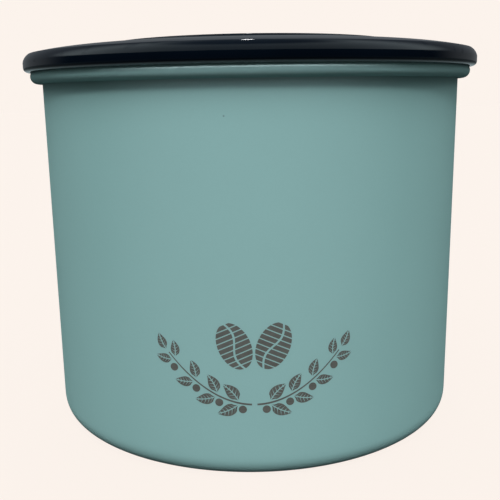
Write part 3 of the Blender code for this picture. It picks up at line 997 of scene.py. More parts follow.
@dataclass
class TopLid:
    """The smoke lid and the silicone ring under its flange."""

    plate: float = 0.0020
    pole_radius: float = 0.0070
    plateau_inset: float = 0.0220
    plateau_rise: float = 0.0010
    plateau_slope: float = 0.0008
    plateau_round: float = 0.0006
    crown_rise: float = 0.0018
    crown_power: float = 2.4
    bevel_width: float = 0.0014
    bevel_drop: float = 0.0021
    bevel_turn: float = math.radians(44)
    side_height: float = 0.0013
    skirt_angle: float = math.radians(30)
    lip_width: float = 0.00042
    plug_clearance: float = 0.0007
    plug_wall: float = 0.0018
    plug_depth: float = 0.0070
    plug_lead: float = 0.0006
    gasket_thickness: float = 0.0011
    edge: float = 0.00022
    plateau_steps: int = 12
    plateau_round_steps: int = 8
    crown_steps: int = 32
    side_steps: int = 20
    ceiling_steps: int = 24

    @property
    def top(self) -> float:
        """Height of the plateau."""
        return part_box("top_lid")[1].z

    @property
    def radius(self) -> float:
        """Radius of the lid."""
        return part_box("top_lid")[1].x

    @property
    def plateau(self) -> float:
        """Radius of the plateau."""
        return self.radius - self.plateau_inset

    @property
    def crown_foot(self) -> float:
        """Radius of the plateau's foot, where the crown starts to fall."""
        return self.plateau + self.plateau_slope

    @property
    def crown_edge(self) -> float:
        """Radius of the crown's edge."""
        return self.radius - self.bevel_width

    @property
    def shoulder(self) -> float:
        """Height of the crown's edge."""
        return self.top - self.plateau_rise - self.crown_rise

    @property
    def corner(self) -> float:
        """Height of the corner between the bevel and the side."""
        return self.shoulder - self.bevel_drop

    @property
    def flange(self) -> float:
        """Height of the underside of the flange over the rim."""
        return self.shoulder - self.plate

    def plug(self, body: CanisterBody) -> float:
        """Radius of the plug, clear of a body's wall."""
        return body.inner_radius - self.plug_clearance

    def skirt(self, body: CanisterBody) -> Point:
        """Find the skirt's end, clear of a body's rolled rim.

        Args:
            body: The cup that the lid closes.

        Returns:
            Its radius and height.
        """
        centre_radius, centre_height = body.curl_centre
        reach = body.curl_radius + contact_gap
        across = reach * math.cos(self.skirt_angle)
        return (centre_radius + across, centre_height + reach * math.sin(self.skirt_angle))

    def crown(self, height: float, span: Span, steps: int) -> np.ndarray:
        """The crown: its height falls by its rise times the share of the way from foot to edge, to a power.

        Args:
            height: Height at the foot.
            span: Radii of the first and the last point.
            steps: Steps between them.

        Returns:
            Radius and height of each point.
        """
        radius = np.linspace(span[0], span[1], steps + 1)
        share = np.maximum(radius - self.crown_foot, 0) / (self.crown_edge - self.crown_foot)
        return np.stack([radius, height - self.crown_rise * share ** self.crown_power], axis=1)

    def bevel(self) -> np.ndarray:
        """The slightly rounded bevel, an arc from the crown's edge down to the corner over the side.

        Its chord has the bevel's width and drop. The arc's radius is half the chord over the
        sine of half its turn.

        Returns:
            Radius and height of each point.
        """
        normal = math.atan2(self.bevel_width, self.bevel_drop)
        half_turn = self.bevel_turn / 2
        reach = math.hypot(self.bevel_width, self.bevel_drop) / 2 / math.sin(half_turn)
        end = normal - half_turn
        centre = (self.radius - reach * math.cos(end), self.corner - reach * math.sin(end))
        return arc(centre, reach, normal + half_turn, end, self.side_steps)

    def side(self, body: CanisterBody) -> np.ndarray:
        """The side under the bevel, a quarter of an ellipse drawn in to the lip of the skirt.

        Args:
            body: The cup that the lid closes.

        Returns:
            Radius and height of each point.
        """
        skirt, skirt_end = self.skirt(body)
        lip = skirt + self.lip_width
        start = self.corner - self.side_height
        return arc((lip, start), self.radius - lip, 0, -quarter_turn, self.side_steps, start - skirt_end)

    def lid(self, body: CanisterBody) -> Shell:
        """The lid: plateau, crown, bevel, side, skirt and plug, and the ceiling inside.

        Args:
            body: The cup that the lid closes.

        Returns:
            Its profile turned round the axis.
        """
        top, flange, plug = self.top, self.flange, self.plug(body)
        skirt, skirt_end = self.skirt(body)
        round_start = self.plateau - self.plateau_round
        crown_top = top - self.plateau_rise
        plug_inner = plug - self.plug_wall
        plug_end = flange - self.plug_depth
        ceiling = top - self.plate
        profile = joined(
            [(0, top)],
            run((self.pole_radius, top), (round_start, top), self.plateau_steps),
            arc((round_start, top - self.plateau_round), self.plateau_round, quarter_turn, 0,
                self.plateau_round_steps),
            self.crown(crown_top, (self.crown_foot, self.crown_edge), self.crown_steps),
            self.bevel(), self.side(body),
            [(skirt, skirt_end), (skirt, flange), (plug, flange), (plug, plug_end + self.plug_lead),
             (plug - self.plug_lead, plug_end), (plug_inner, plug_end)],
            self.crown(crown_top - self.plate, (plug_inner, self.crown_foot - self.plate),
                       self.ceiling_steps),
            [(self.plateau - self.plate, ceiling), (0, ceiling)],
        )
        return turned(softened(profile, self.edge, False), large_steps, False)

    def gasket(self, body: CanisterBody) -> Shell:
        """The silicone ring between the flange and the rim.

        Args:
            body: The cup that the lid closes.

        Returns:
            Its section turned round the axis.
        """
        high = self.flange - contact_gap
        low = high - self.gasket_thickness
        inner = self.plug(body) + contact_gap
        outer = self.skirt(body)[0] - contact_gap
        ring = np.array([(inner, high), (outer, high), (outer, low), (inner, low)])
        return turned(softened(ring, self.edge, True), large_steps, True)

    def build(self, body: CanisterBody, smoke: bpy.types.Material, rubber: bpy.types.Material
              ) -> list[bpy.types.Object]:
        """Make the lid and its gasket over a body's rim.

        Args:
            body: The cup that the lid closes.
            smoke: Finish of the lid.
            rubber: Finish of the gasket.

        Returns:
            Both pieces.
        """
        return [
            add_piece("smoke_lid", self.lid(body), [smoke], Carrier.TOP_LID, ["top_lid"]),
            add_piece("lid_gasket", self.gasket(body), [rubber], Carrier.TOP_LID,
                      ["top_lid_gasket"]),
        ]


@dataclass(frozen=True)
class InnerSizes:
    """Sizes that the pieces of the inner lid share; heights are above its underside."""

    flange_radius: float = 0.0536
    groove_depth: float = 0.0014
    wall: float = 0.0018
    plate: float = 0.0018
    rim_height: float = 0.0104
    seal_flange: float = 0.0016
    ledge_width: float = 0.0008
    ledge_height: float = 0.0015
    disc_recess: float = 0.0009
    disc_thickness: float = 0.0015
    disc_radius: float = 0.0122
    seal_height: float = 0.0010
    spring_height: float = 0.0060
    button_radius: float = 0.0075
    button_thickness: float = 0.0022
    bar_radius: float = 0.0026
    floor_thickness: float = 0.0018
    ear_top_radius: float = 0.0030
    valve_lift: float = 0.0025
    handle_reach: float = 0.0240
    band_width: float = 0.0060
    band_height: float = 0.0044
    pin_radius: float = 0.0012
    ear_thickness: float = 0.0030

    @property
    def base(self) -> float:
        """Height of the inner lid's underside in the canister."""
        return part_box("inner_lid_base")[0].z

    @property
    def vent(self) -> Vector:
        """Centre of the gas valve."""
        low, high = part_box("degassing_valve")
        return (low + high) / 2

    @property
    def groove_radius(self) -> float:
        """Radius of the floor of the seal's groove."""
        return self.flange_radius - self.groove_depth

    @property
    def ledge_radius(self) -> float:
        """Radius of the ledge that the snap hooks catch."""
        return self.groove_radius - self.wall - self.ledge_width

    @property
    def disc_top(self) -> float:
        """Height of the top of the valve's disc."""
        return self.disc_recess + self.disc_thickness

    @property
    def seal_base(self) -> float:
        """Height of the underside of the valve's seal."""
        return self.disc_top + contact_gap

    @property
    def spring_base(self) -> float:
        """Height of the spring's lower end, on the roof of the valve's well."""
        return self.seal_base + self.seal_height + contact_gap + self.plate + contact_gap

    @property
    def button_underside(self) -> float:
        """Height of the underside of the valve's button."""
        return self.spring_base + self.spring_height + contact_gap

    @property
    def pivot(self) -> float:
        """Height of the handle's pivot."""
        return self.button_underside + self.button_thickness + contact_gap + self.bar_radius

    @property
    def floor(self) -> float:
        """Height of the floor of the cover's dish."""
        return self.rim_height + contact_gap + self.floor_thickness


@dataclass
class InnerLid:
    """The cover, wiper seal, pins and gas valve of the airtight lid on the coffee."""

    sizes: InnerSizes
    rim_inset: float = 0.0014
    lip_thickness: float = 0.0012
    fillet: float = 0.0015
    hole_clearance: float = 0.0010
    collar_wall: float = 0.0012
    collar_height: float = 0.0008
    ear_foot: float = 0.0048
    hook_count: int = 4
    hook_thickness: float = 0.0013
    hook_width: float = 0.0060
    hook_length: float = 0.0034
    hook_reach: float = 0.0007
    rest_width: float = 0.0040
    weld: float = 0.0005
    lip_rise: float = 0.0006
    lip_edge: float = 0.0005
    lip_root: float = 0.0013
    pin_head: float = 0.0022
    pin_head_thickness: float = 0.0009
    pin_depth: float = 0.0060
    umbrella_radius: float = 0.0056
    umbrella_edge: float = 0.0005
    umbrella_crown: float = 0.0007
    stem_radius: float = 0.0012
    bulb_radius: float = 0.0018
    bulb_height: float = 0.0006
    pocket_depth: float = 0.0022
    edge: float = 0.00022
    floor_steps: int = 10
    fillet_steps: int = 8
    ear_steps: int = 24
    head_steps: int = 10
    head_turn: float = math.radians(78)
    cap_steps: int = 12

    def dish(self) -> Shell:
        """The cover's turned part: dished floor, rim with a lip, and the button's collar.

        Returns:
            Its profile turned round the axis.
        """
        sizes = self.sizes
        hole = sizes.button_radius + self.hole_clearance
        collar = hole + self.collar_wall
        rim_outer = sizes.flange_radius - self.rim_inset
        rim_inner = rim_outer - sizes.wall
        underside = sizes.rim_height + contact_gap
        rim_top = sizes.pivot + sizes.ear_top_radius
        profile = joined(
            [(rim_inner, rim_top), (sizes.flange_radius, rim_top),
             (sizes.flange_radius, rim_top - self.lip_thickness), (rim_outer, rim_top - self.lip_thickness),
             (rim_outer, sizes.floor), (sizes.flange_radius, sizes.floor),
             (sizes.flange_radius, underside), (hole, underside), (hole, sizes.floor + self.collar_height),
             (collar, sizes.floor + self.collar_height), (collar, sizes.floor)],
            run((collar + self.fillet, sizes.floor), (rim_inner - self.fillet, sizes.floor),
                self.floor_steps),
            arc((rim_inner - self.fillet, sizes.floor + self.fillet), self.fillet, -quarter_turn, 0,
                self.fillet_steps),
        )
        return turned(softened(profile, self.edge, True), large_steps, True)

    def ear(self, side: int) -> Shell:
        """An ear that holds one end of the handle, round at the top.

        Args:
            side: -1 for the left one, 1 for the right one.

        Returns:
            Its outline carried along X.
        """
        sizes = self.sizes
        foot = sizes.floor - self.weld
        outline = joined(
            [(-self.ear_foot, foot), (self.ear_foot, foot)],
            arc((0, sizes.pivot), sizes.ear_top_radius, 0, math.pi, self.ear_steps),
        )
        start = sizes.handle_reach + contact_gap
        axes = ((0, side, 0), (0, 0, 1), (side, 0, 0))
        return slab(outline, start, start + sizes.ear_thickness, axes, self.edge)

    def hook(self, index: int) -> Shell:
        """A snap hook below the cover, an arm with a nib under the base's ledge.

        Args:
            index: Its place in the ring of hooks.

        Returns:
            Its outline carried along the ring.
        """
        sizes = self.sizes
        outer = sizes.ledge_radius - contact_gap
        inner = outer - self.hook_thickness
        underside = sizes.rim_height + contact_gap
        nib_top = sizes.rim_height - sizes.ledge_height - contact_gap
        end = underside - self.hook_length
        outline = np.array([
            (inner, underside + self.weld), (inner, end), (outer, end), (outer + self.hook_reach, nib_top),
            (outer, nib_top), (outer, underside + self.weld),
        ])
        angle = math.pi / self.hook_count + math.tau * index / self.hook_count
        x, y = math.cos(angle), math.sin(angle)
        axes = ((x, y, 0), (0, 0, 1), (-y, x, 0))
        return slab(outline, -self.hook_width / 2, self.hook_width / 2, axes, self.edge / 2)

    def rest(self) -> Shell:
        """The nub that the folded handle lies on.

        Returns:
            Its outline carried along Y.
        """
        sizes = self.sizes
        top = sizes.pivot - sizes.band_height / 2 - contact_gap
        outline = np.array([
            (-self.rest_width, sizes.floor - self.weld), (self.rest_width, sizes.floor - self.weld),
            (self.rest_width - self.edge, top), (self.edge - self.rest_width, top),
        ])
        start = sizes.handle_reach - sizes.band_width + self.edge
        end = sizes.handle_reach - self.edge
        return slab(outline, start, end, ((1, 0, 0), (0, 0, 1), (0, 1, 0)), self.edge)

    def wiper(self) -> Shell:
        """The silicone sleeve with a lip at each end that rubs on the wall.

        Returns:
            Its profile turned round the axis.
        """
        sizes = self.sizes
        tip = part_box("wiper_seal")[1].x
        inner = sizes.groove_radius + contact_gap
        flange = sizes.flange_radius
        high = sizes.rim_height - sizes.seal_flange - contact_gap
        low = sizes.seal_flange + contact_gap
        profile = np.array([
            (inner, high), (flange, high), (tip, high + self.lip_rise),
            (tip, high + self.lip_rise - self.lip_edge), (flange, high - self.lip_root),
            (flange, low + self.lip_root), (tip, low - self.lip_rise + self.lip_edge),
            (tip, low - self.lip_rise), (flange, low), (inner, low),
        ])
        return turned(softened(profile, self.edge, True), large_steps, True)

    def pin(self, side: int) -> Shell:
        """A headed pin from outside an ear into the handle's bar.

        Args:
            side: -1 for the left one, 1 for the right one.

        Returns:
            Its profile turned round the pivot.
        """
        sizes = self.sizes
        head = sizes.handle_reach + contact_gap + sizes.ear_thickness + contact_gap
        top = head + self.pin_head_thickness
        tip = sizes.handle_reach - self.pin_depth
        profile = joined(
            [(0, top)], arc((0, head + self.edge), self.pin_head, self.head_turn, 0, self.head_steps,
                            self.pin_head_thickness - self.edge),
            [(self.pin_head, head), (sizes.pin_radius, head), (sizes.pin_radius, tip), (0, tip)],
        )
        return along_x(turned(softened(profile, self.edge, False), tiny_steps, False), side)

    def umbrella(self) -> Shell:
        """The gas valve: a thin cap on a stem with a bulb that holds it down.

        Returns:
            Its profile turned round its own axis.
        """
        seat = self.pocket_depth + self.sizes.plate + contact_gap
        bulb_top = self.pocket_depth - contact_gap
        profile = joined(
            arc((0, seat + self.umbrella_edge), self.umbrella_radius, quarter_turn, 0, self.cap_steps,
                self.umbrella_crown),
            [(self.umbrella_radius, seat), (self.stem_radius, seat), (self.stem_radius, bulb_top),
             (self.bulb_radius, bulb_top), (self.stem_radius, bulb_top - self.bulb_height),
             (0, bulb_top - self.bulb_height)],
        )
        return turned(softened(profile, self.edge, False), tiny_steps, False)

    def build(self, charcoal: bpy.types.Material, grey: bpy.types.Material, rubber: bpy.types.Material,
              steel: bpy.types.Material) -> list[bpy.types.Object]:
        """Make the pieces and finish the two that keep their CAD shape.

        Args:
            charcoal: Finish of the cover and the base.
            grey: Finish of the vent guard.
            rubber: Finish of the sleeve and the gas valve.
            steel: Finish of the pins.

        Returns:
            The pieces.
        """
        base = self.sizes.base
        cover = combined(
            self.dish(), self.ear(-1), self.ear(1), self.rest(),
            *(self.hook(index) for index in range(self.hook_count)),
        )
        lid = Carrier.INNER_LID
        pieces = [
            add_piece("dished_cover", moved(cover, (0, 0, base)), [charcoal], lid,
                      ["inner_lid_cover"]),
            add_piece("wiper_sleeve", moved(self.wiper(), (0, 0, base)), [rubber], lid,
                      ["wiper_seal"]),
        ]
        for side, name in ((-1, "left"), (1, "right")):
            pin = moved(self.pin(side), (0, 0, base + self.sizes.pivot))
            pieces.append(add_piece(f"pin_{name}", pin, [steel], lid, [f"handle_pin_{name}"]))
        vent = self.sizes.vent
        umbrella = moved(self.umbrella(), (vent.x, vent.y, base))
        pieces.append(
            add_piece("gas_umbrella", umbrella, [rubber], lid, ["degassing_valve"])
        )
        for node, finish in (("inner_lid_base", charcoal), ("vent_guard", grey)):
            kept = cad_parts[node]
            kept.data.materials.clear()
            kept.data.materials.append(finish)
            pieces.append(kept)
        return pieces


@dataclass
class LiftHandle:
    """The folding handle: a half ring on a cross bar, with the cam that opens the valve."""

    sizes: InnerSizes
    band_round: float = 0.0012
    cam_width: float = 0.0080
    edge: float = 0.0003
    arc_steps: int = 72
    round_steps: int = 6
    working_points: int = 25
    nose_steps: int = 8
    back_steps: int = 16

    def bail(self) -> Shell:
        """The half ring: a rounded rectangle carried round Z by a half turn.

        Returns:
            The ring, flat at both ends.
        """
        sizes = self.sizes
        middle = sizes.handle_reach - sizes.band_width / 2
        across = sizes.band_width / 2 - self.band_round
        up = sizes.band_height / 2 - self.band_round
        section = joined(*(
            arc((middle + side * across, level * up), self.band_round, quarter_turn * quarter,
                quarter_turn * (quarter + 1), self.round_steps)
            for quarter, (side, level) in enumerate(((1, 1), (-1, 1), (-1, -1), (1, -1)))
        ))
        angles = np.linspace(0, math.pi, self.arc_steps + 1)[:, None]
        heights = np.broadcast_to(section[:, 1], (len(angles), len(section)))
        return capped(np.stack([section[:, 0] * np.cos(angles), section[:, 0] * np.sin(angles), heights],
                               axis=-1))

    def bar(self) -> Shell:
        """The cross bar between the ears; each pin lies inside one of its ends.

        Returns:
            Its profile turned round the pivot.
        """
        reach = self.sizes.handle_reach
        profile = np.array([
            (0, reach), (self.sizes.bar_radius, reach), (self.sizes.bar_radius, -reach), (0, -reach),
        ])
        return along_x(turned(softened(profile, self.edge, False), tiny_steps, False), 1)

    def cam(self) -> Shell:
        """The cam: its working edge is an involute, whose height grows evenly with the angle.

        Returns:
            Its outline carried along X.
        """
        sizes = self.sizes
        growth = sizes.valve_lift / quarter_turn
        angle = np.linspace(0, quarter_turn, self.working_points)
        height = sizes.bar_radius + growth * angle
        working = np.stack([
            -height * np.sin(angle) - growth * np.cos(angle),
            -height * np.cos(angle) + growth * np.sin(angle),
        ], axis=1)
        nose_radius = sizes.bar_radius - growth
        nose = (nose_radius - sizes.bar_radius - sizes.valve_lift, growth)
        outline = joined(
            working, arc(nose, nose_radius, math.pi, quarter_turn, self.nose_steps),
            arc((0, 0), sizes.bar_radius, quarter_turn, -quarter_turn, self.back_steps),
        )[:-1]
        axes = ((0, 1, 0), (0, 0, 1), (1, 0, 0))
        return slab(outline[::-1], -self.cam_width / 2, self.cam_width / 2, axes, self.edge)

    def build(self, black: bpy.types.Material) -> list[bpy.types.Object]:
        """Make the handle.

        Args:
            black: Its finish.

        Returns:
            The handle.
        """
        shell = combined(self.bail(), self.bar(), self.cam())
        lifted = moved(shell, (0, 0, self.sizes.base + self.sizes.pivot))
        return [add_piece("folding_handle", lifted, [black], Carrier.HANDLE, ["lift_handle"])]


@dataclass
class Valve:
    """The plunger, seal, button and spring on the inner lid's axis."""

    sizes: InnerSizes
    stem_radius: float = 0.0018
    stem_reach: float = 0.0008
    thread_length: float = 0.0024
    hub_radius: float = 0.0093
    hub_height: float = 0.0008
    seal_edge: float = 0.0004
    boss_radius: float = 0.0034
    dimple_radius: float = 0.0046
    dimple_width: float = 0.0008
    dimple_depth: float = 0.0003
    spring_radius: float = 0.0052
    wire_radius: float = 0.00045
    spring_turns: int = 3
    turn_steps: int = 40
    wire_steps: int = 12
    edge: float = 0.0003
    rim_steps: int = 2
    dimple_steps: int = 4

    def plunger(self) -> Shell:
        """The stem and disc in one moulding.

        Returns:
            Its profile turned round the axis.
        """
        sizes = self.sizes
        top = sizes.button_underside + self.stem_reach
        hub_top = sizes.disc_top + self.hub_height
        profile = np.array([
            (0, top), (self.stem_radius, top), (self.stem_radius, hub_top), (self.hub_radius, hub_top),
            (self.hub_radius, sizes.disc_top), (sizes.disc_radius, sizes.disc_top),
            (sizes.disc_radius, sizes.disc_recess), (0, sizes.disc_recess),
        ])
        return turned(softened(profile, self.edge, False), small_steps, False)

    def seal(self) -> Shell:
        """The silicone ring round the hub, with a raised line that meets the port.

        Returns:
            Its profile turned round the axis.
        """
        sizes = self.sizes
        inner = self.hub_radius + contact_gap
        outer = sizes.disc_radius - self.seal_edge
        top = sizes.seal_base + sizes.seal_height
        profile = np.array([
            (inner, top - self.seal_edge), ((inner + outer) / 2, top), (outer, top - self.seal_edge),
            (outer, sizes.seal_base), (inner, sizes.seal_base),
        ])
        return turned(softened(profile, self.edge, True), small_steps, True)

    def button(self) -> Shell:
        """The button on the stem, with a shallow groove round the spot that the cam presses.

        Returns:
            Its profile turned round the axis.
        """
        sizes = self.sizes
        bore = self.stem_radius + contact_gap
        stem_top = sizes.button_underside + self.stem_reach
        boss_end = stem_top - self.thread_length
        top = sizes.button_underside + sizes.button_thickness
        dimple = self.dimple_radius
        profile = joined(
            [(0, top)], run((dimple / 2, top), (dimple, top), self.rim_steps),
            eased_run((dimple, top), (dimple + self.edge, top - self.dimple_depth), self.dimple_steps),
            eased_run((dimple + self.edge + self.edge, top - self.dimple_depth),
                      (dimple + self.dimple_width + self.edge, top), self.dimple_steps),
            [(sizes.button_radius, top), (sizes.button_radius, sizes.button_underside),
             (self.boss_radius, sizes.button_underside), (self.boss_radius, boss_end), (bore, boss_end),
             (bore, stem_top + contact_gap), (0, stem_top + contact_gap)],
        )
        return turned(softened(profile, self.edge, False), small_steps, False)

    def spring(self) -> Shell:
        """The coil: a tube round a helix whose height grows evenly with the angle.

        A point of the tube is the helix plus the wire's radius times cos a along the outward
        direction and sin a along the direction square to both that and the helix.

        Returns:
            The wire, flat at both ends.
        """
        turns = np.linspace(0, math.tau * self.spring_turns, self.spring_turns * self.turn_steps + 1)
        travel = self.sizes.spring_height - self.wire_radius - self.wire_radius
        share = turns / turns[-1]
        outward = np.stack([np.cos(turns), np.sin(turns), np.zeros_like(turns)], axis=1)
        line = self.spring_radius * outward
        line[:, 2] = self.wire_radius + travel * share
        slope = travel / turns[-1]
        tangent = np.stack([
            -self.spring_radius * np.sin(turns), self.spring_radius * np.cos(turns),
            np.full_like(turns, slope),
        ], axis=1)
        tangent = tangent / np.linalg.norm(tangent, axis=1)[:, None]
        square = np.cross(tangent, outward)
        around = (np.arange(self.wire_steps) * math.tau / self.wire_steps)[None, :, None]
        tube = self.wire_radius * (np.cos(around) * outward[:, None] + np.sin(around) * square[:, None])
        return capped(line[:, None] + tube)

    def build(self, grey: bpy.types.Material, rubber: bpy.types.Material, steel: bpy.types.Material
              ) -> list[bpy.types.Object]:
        """Make the four pieces.

        Args:
            grey: Finish of the plunger and the button.
            rubber: Finish of the seal.
            steel: Finish of the spring.

        Returns:
            The pieces.
        """
        base = self.sizes.base
        pieces = [
            add_piece("plunger_stem", moved(self.plunger(), (0, 0, base)), [grey], Carrier.VALVE,
                      ["valve_plunger"]),
            add_piece("plunger_ring", moved(self.seal(), (0, 0, base)), [rubber], Carrier.VALVE,
                      ["valve_seal"]),
            add_piece("press_button", moved(self.button(), (0, 0, base)), [grey], Carrier.VALVE,
                      ["valve_button"]),
        ]
        foot = base + self.sizes.spring_base
        coil = add_piece("coil_spring", moved(self.spring(), (0, 0, foot)), [steel], Carrier.INNER_LID,
                         ["valve_spring"])
        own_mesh(coil)
        return [*pieces, coil]


@dataclass
class EtchedSprig:
    """A generic mark etched low on the front: two coffee beans over a garland of leaves.

    Every motif is drawn flat, across and up, and then bent round the wall.
    """

    centre_height: float = 0.0275
    enlargement: float = 1.105
    relief: float = 0.00002
    root: float = 0.00006
    gap: float = 0.00022
    bean_length: float = 0.0052
    bean_width: float = 0.0034
    bean_offset: float = 0.0040
    bean_height: float = 0.0050
    bean_tilt: float = math.radians(24)
    bean_groove: float = 0.0008
    bean_strips: int = 9
    strip_share: float = 0.80
    garland_span: float = 0.0185
    garland_drop: float = -0.0076
    garland_rise: float = 0.0112
    stem_width: float = 0.00042
    stem_pieces: int = 8
    stem_start_share: float = 0.03
    stem_share: float = 0.94
    leaf_length: float = 0.0051
    leaf_width: float = 0.0027
    leaf_power: float = 0.8
    leaf_spread: float = math.radians(50)
    leaf_bend: float = 0.5
    leaf_strips: int = 6
    leaf_pairs: int = 4
    first_leaf_share: float = 0.16
    leaf_row_share: float = 0.74
    leaf_loss_share: float = 0.30
    tip_leaf_share: float = 0.75
    vein_share: float = 0.20
    cherry_radius: float = 0.00085
    cherry_back_share: float = 0.040
    patch_steps: int = 6

    def grid(self) -> tuple[np.ndarray, np.ndarray]:
        """Two shares from 0 to 1 on a patch's grid, along and across."""
        share = np.linspace(0, 1, self.patch_steps)
        return np.meshgrid(share, share, indexing="ij")

    def strips(self, count: int) -> np.ndarray:
        """Start and end shares of a row of strips with a gap between each and the next."""
        starts = np.arange(count) / count
        return np.stack([starts, starts + self.strip_share / count], axis=1)

    def leaf(self, foot: np.ndarray, direction: float, size: float, bend: float) -> np.ndarray:
        """A leaf in two halves, each cut into strips by slanted veins.

        The midrib is an arc, (sin(b t), 1 - cos(b t)) / b times the length. A point lies off it
        by a share of the half width, which follows the sine of pi times t to the leaf's power.

        Args:
            foot: Where the leaf starts.
            direction: Angle in which it starts, from the first axis.
            size: Its size beside a full leaf's.
            bend: Angle b by which the midrib turns.

        Returns:
            A grid of points for each strip.
        """
        along, across = self.grid()
        halves = []
        for side in (-1, 1):
            for start, end in self.strips(self.leaf_strips):
                slant = self.vein_share * across * (1 - start)
                share = np.clip(start + (end - start) * along + slant, 0, 1)
                half = size * self.leaf_width / 2 * np.sin(math.pi * share ** self.leaf_power)
                off = side * (self.gap / 2 + across * np.maximum(half - self.gap / 2, 0))
                length = size * self.leaf_length
                turn = bend * share
                x = length * np.sin(turn) / bend - off * np.sin(turn)
                y = length * (1 - np.cos(turn)) / bend + off * np.cos(turn)
                halves.append(np.stack([
                    foot[0] + x * math.cos(direction) - y * math.sin(direction),
                    foot[1] + x * math.sin(direction) + y * math.cos(direction),
                ], axis=-1))
        return np.array(halves)

    def bean(self, side: int) -> np.ndarray:
        """A bean in two halves on either side of an S-shaped groove, each hatched by strips.

        Its half width follows the square root of 1 - s^2, and the groove the sine of pi s, where
        s goes from -1 to 1 along the bean.

        Args:
            side: -1 for the left bean, 1 for the right one.

        Returns:
            A grid of points for each strip.
        """
        along, across = self.grid()
        patches = []
        for half in (-1, 1):
            for start, end in self.strips(self.bean_strips):
                share = 2 * (start + (end - start) * along) - 1
                width = self.bean_width * np.sqrt(np.maximum(1 - share ** 2, 0))
                groove = self.bean_groove * np.sin(math.pi * share)
                inner = groove + half * self.gap
                outer = half * np.maximum(width, np.abs(inner))
                x = inner + (outer - inner) * across
                y = self.bean_length * share
                tilt = -side * self.bean_tilt
                patches.append(np.stack([
                    side * self.bean_offset + x * math.cos(tilt) - y * math.sin(tilt),
                    self.bean_height + x * math.sin(tilt) + y * math.cos(tilt),
                ], axis=-1))
        return np.array(patches)

    def cherry(self, centre: np.ndarray) -> np.ndarray:
        """A round berry: the grid of a square pressed into a disc.

        Each coordinate is multiplied by the square root of 1 less half the other's square.

        Args:
            centre: Its centre.

        Returns:
            One grid of points.
        """
        along, across = self.grid()
        a, b = 2 * along - 1, 2 * across - 1
        x = a * np.sqrt(1 - b ** 2 / 2)
        y = b * np.sqrt(1 - a ** 2 / 2)
        return np.stack([centre[0] + self.cherry_radius * x, centre[1] + self.cherry_radius * y],
                        axis=-1)[None]

    def stem(self, share: np.ndarray) -> np.ndarray:
        """Points of the right-hand stem: it leaves the middle level and rises as the square."""
        return np.stack([
            self.garland_span * share, self.garland_drop + self.garland_rise * share ** 2,
        ], axis=-1)

    def slope(self, share: float | np.ndarray) -> np.ndarray:
        """Angle of the stem at a share of its way."""
        return np.arctan2(2 * self.garland_rise * share, self.garland_span)

    def garland(self) -> np.ndarray:
        """The right-hand half of the garland: stem, pairs of leaves and cherries below it.

        Returns:
            A grid of points for each patch.
        """
        along, across = self.grid()
        patches = []
        for index in range(self.stem_pieces):
            share = self.stem_start_share + self.stem_share * (index + along) / self.stem_pieces
            slope = self.slope(share)
            half = self.stem_width * (1 - share / 2) * (across - half_share)
            normal = np.stack([-np.sin(slope), np.cos(slope)], axis=-1)
            patches.append((self.stem(share) + normal * half[..., None])[None])
        reach = self.stem_width + self.gap
        drop = self.stem_width + self.cherry_radius
        for index in range(self.leaf_pairs):
            share = self.first_leaf_share + self.leaf_row_share * index / (self.leaf_pairs - 1)
            slope = self.slope(share)
            size = 1 - self.leaf_loss_share * share
            for side in (-1, 1):
                direction = slope + side * self.leaf_spread
                ahead = np.array([math.cos(direction), math.sin(direction)])
                foot = self.stem(np.array(share)) + reach * ahead
                patches.append(self.leaf(foot, direction, size, -side * self.leaf_bend))
            below = np.array([math.sin(slope), -math.cos(slope)])
            patches.append(self.cherry(self.stem(np.array(share - self.cherry_back_share)) + drop * below))
        tip = self.stem(np.array(1.0))
        patches.append(self.leaf(tip, self.slope(1.0), self.tip_leaf_share, self.leaf_bend))
        return np.concatenate(patches)

    def bent(self, patches: np.ndarray, radius: float) -> np.ndarray:
        """Bend flat patches round the wall: the angle is the distance across over the radius.

        Args:
            patches: Points of the flat drawing, across and up.
            radius: Radius that they are bent to.

        Returns:
            The points in space.
        """
        drawn = patches * self.enlargement
        angle = drawn[..., 0] / radius
        height = self.centre_height + drawn[..., 1]
        return np.stack([radius * np.sin(angle), -radius * np.cos(angle), height], axis=-1)

    def shell(self, body: CanisterBody) -> Shell:
        """All patches as thin closed plates, let into the wall by their root.

        Args:
            body: The cup that is marked.

        Returns:
            The plates in one shell.
        """
        right = self.garland()
        left = right * np.array([-1.0, 1.0])
        patches = np.concatenate([right, left, self.bean(-1), self.bean(1)])
        count, size = len(patches), self.patch_steps
        outer = self.bent(patches, body.wall_radius + self.relief)
        inner = self.bent(patches, body.wall_radius - self.root)
        points = np.concatenate([outer.reshape(count, -1, 3), inner.reshape(count, -1, 3)], axis=1)
        index = np.arange(size * size).reshape(size, size)
        top = np.stack([index[:-1, :-1], index[:-1, 1:], index[1:, 1:], index[1:, :-1]], -1).reshape(-1, 4)
        under = top[:, ::-1] + size * size
        rim = np.concatenate([index[0, :-1], index[:-1, -1], index[-1, :0:-1], index[:0:-1, 0]])
        after = np.roll(rim, -1)
        sides = np.stack([rim, rim + size * size, after + size * size, after], axis=1)
        plate = np.concatenate([top, under, sides])
        faces = plate[None] + (np.arange(count) * 2 * size * size)[:, None, None]
        faces = faces.reshape(-1, 4)
        return Shell(points.reshape(-1, 3), faces.tolist(), np.zeros(len(faces), int))

    def build(self, body: CanisterBody, etched: bpy.types.Material) -> list[bpy.types.Object]:
        """Make the mark on a body's wall."""
        return [add_piece("etched_sprig", self.shell(body), [etched], Carrier.CANISTER)]


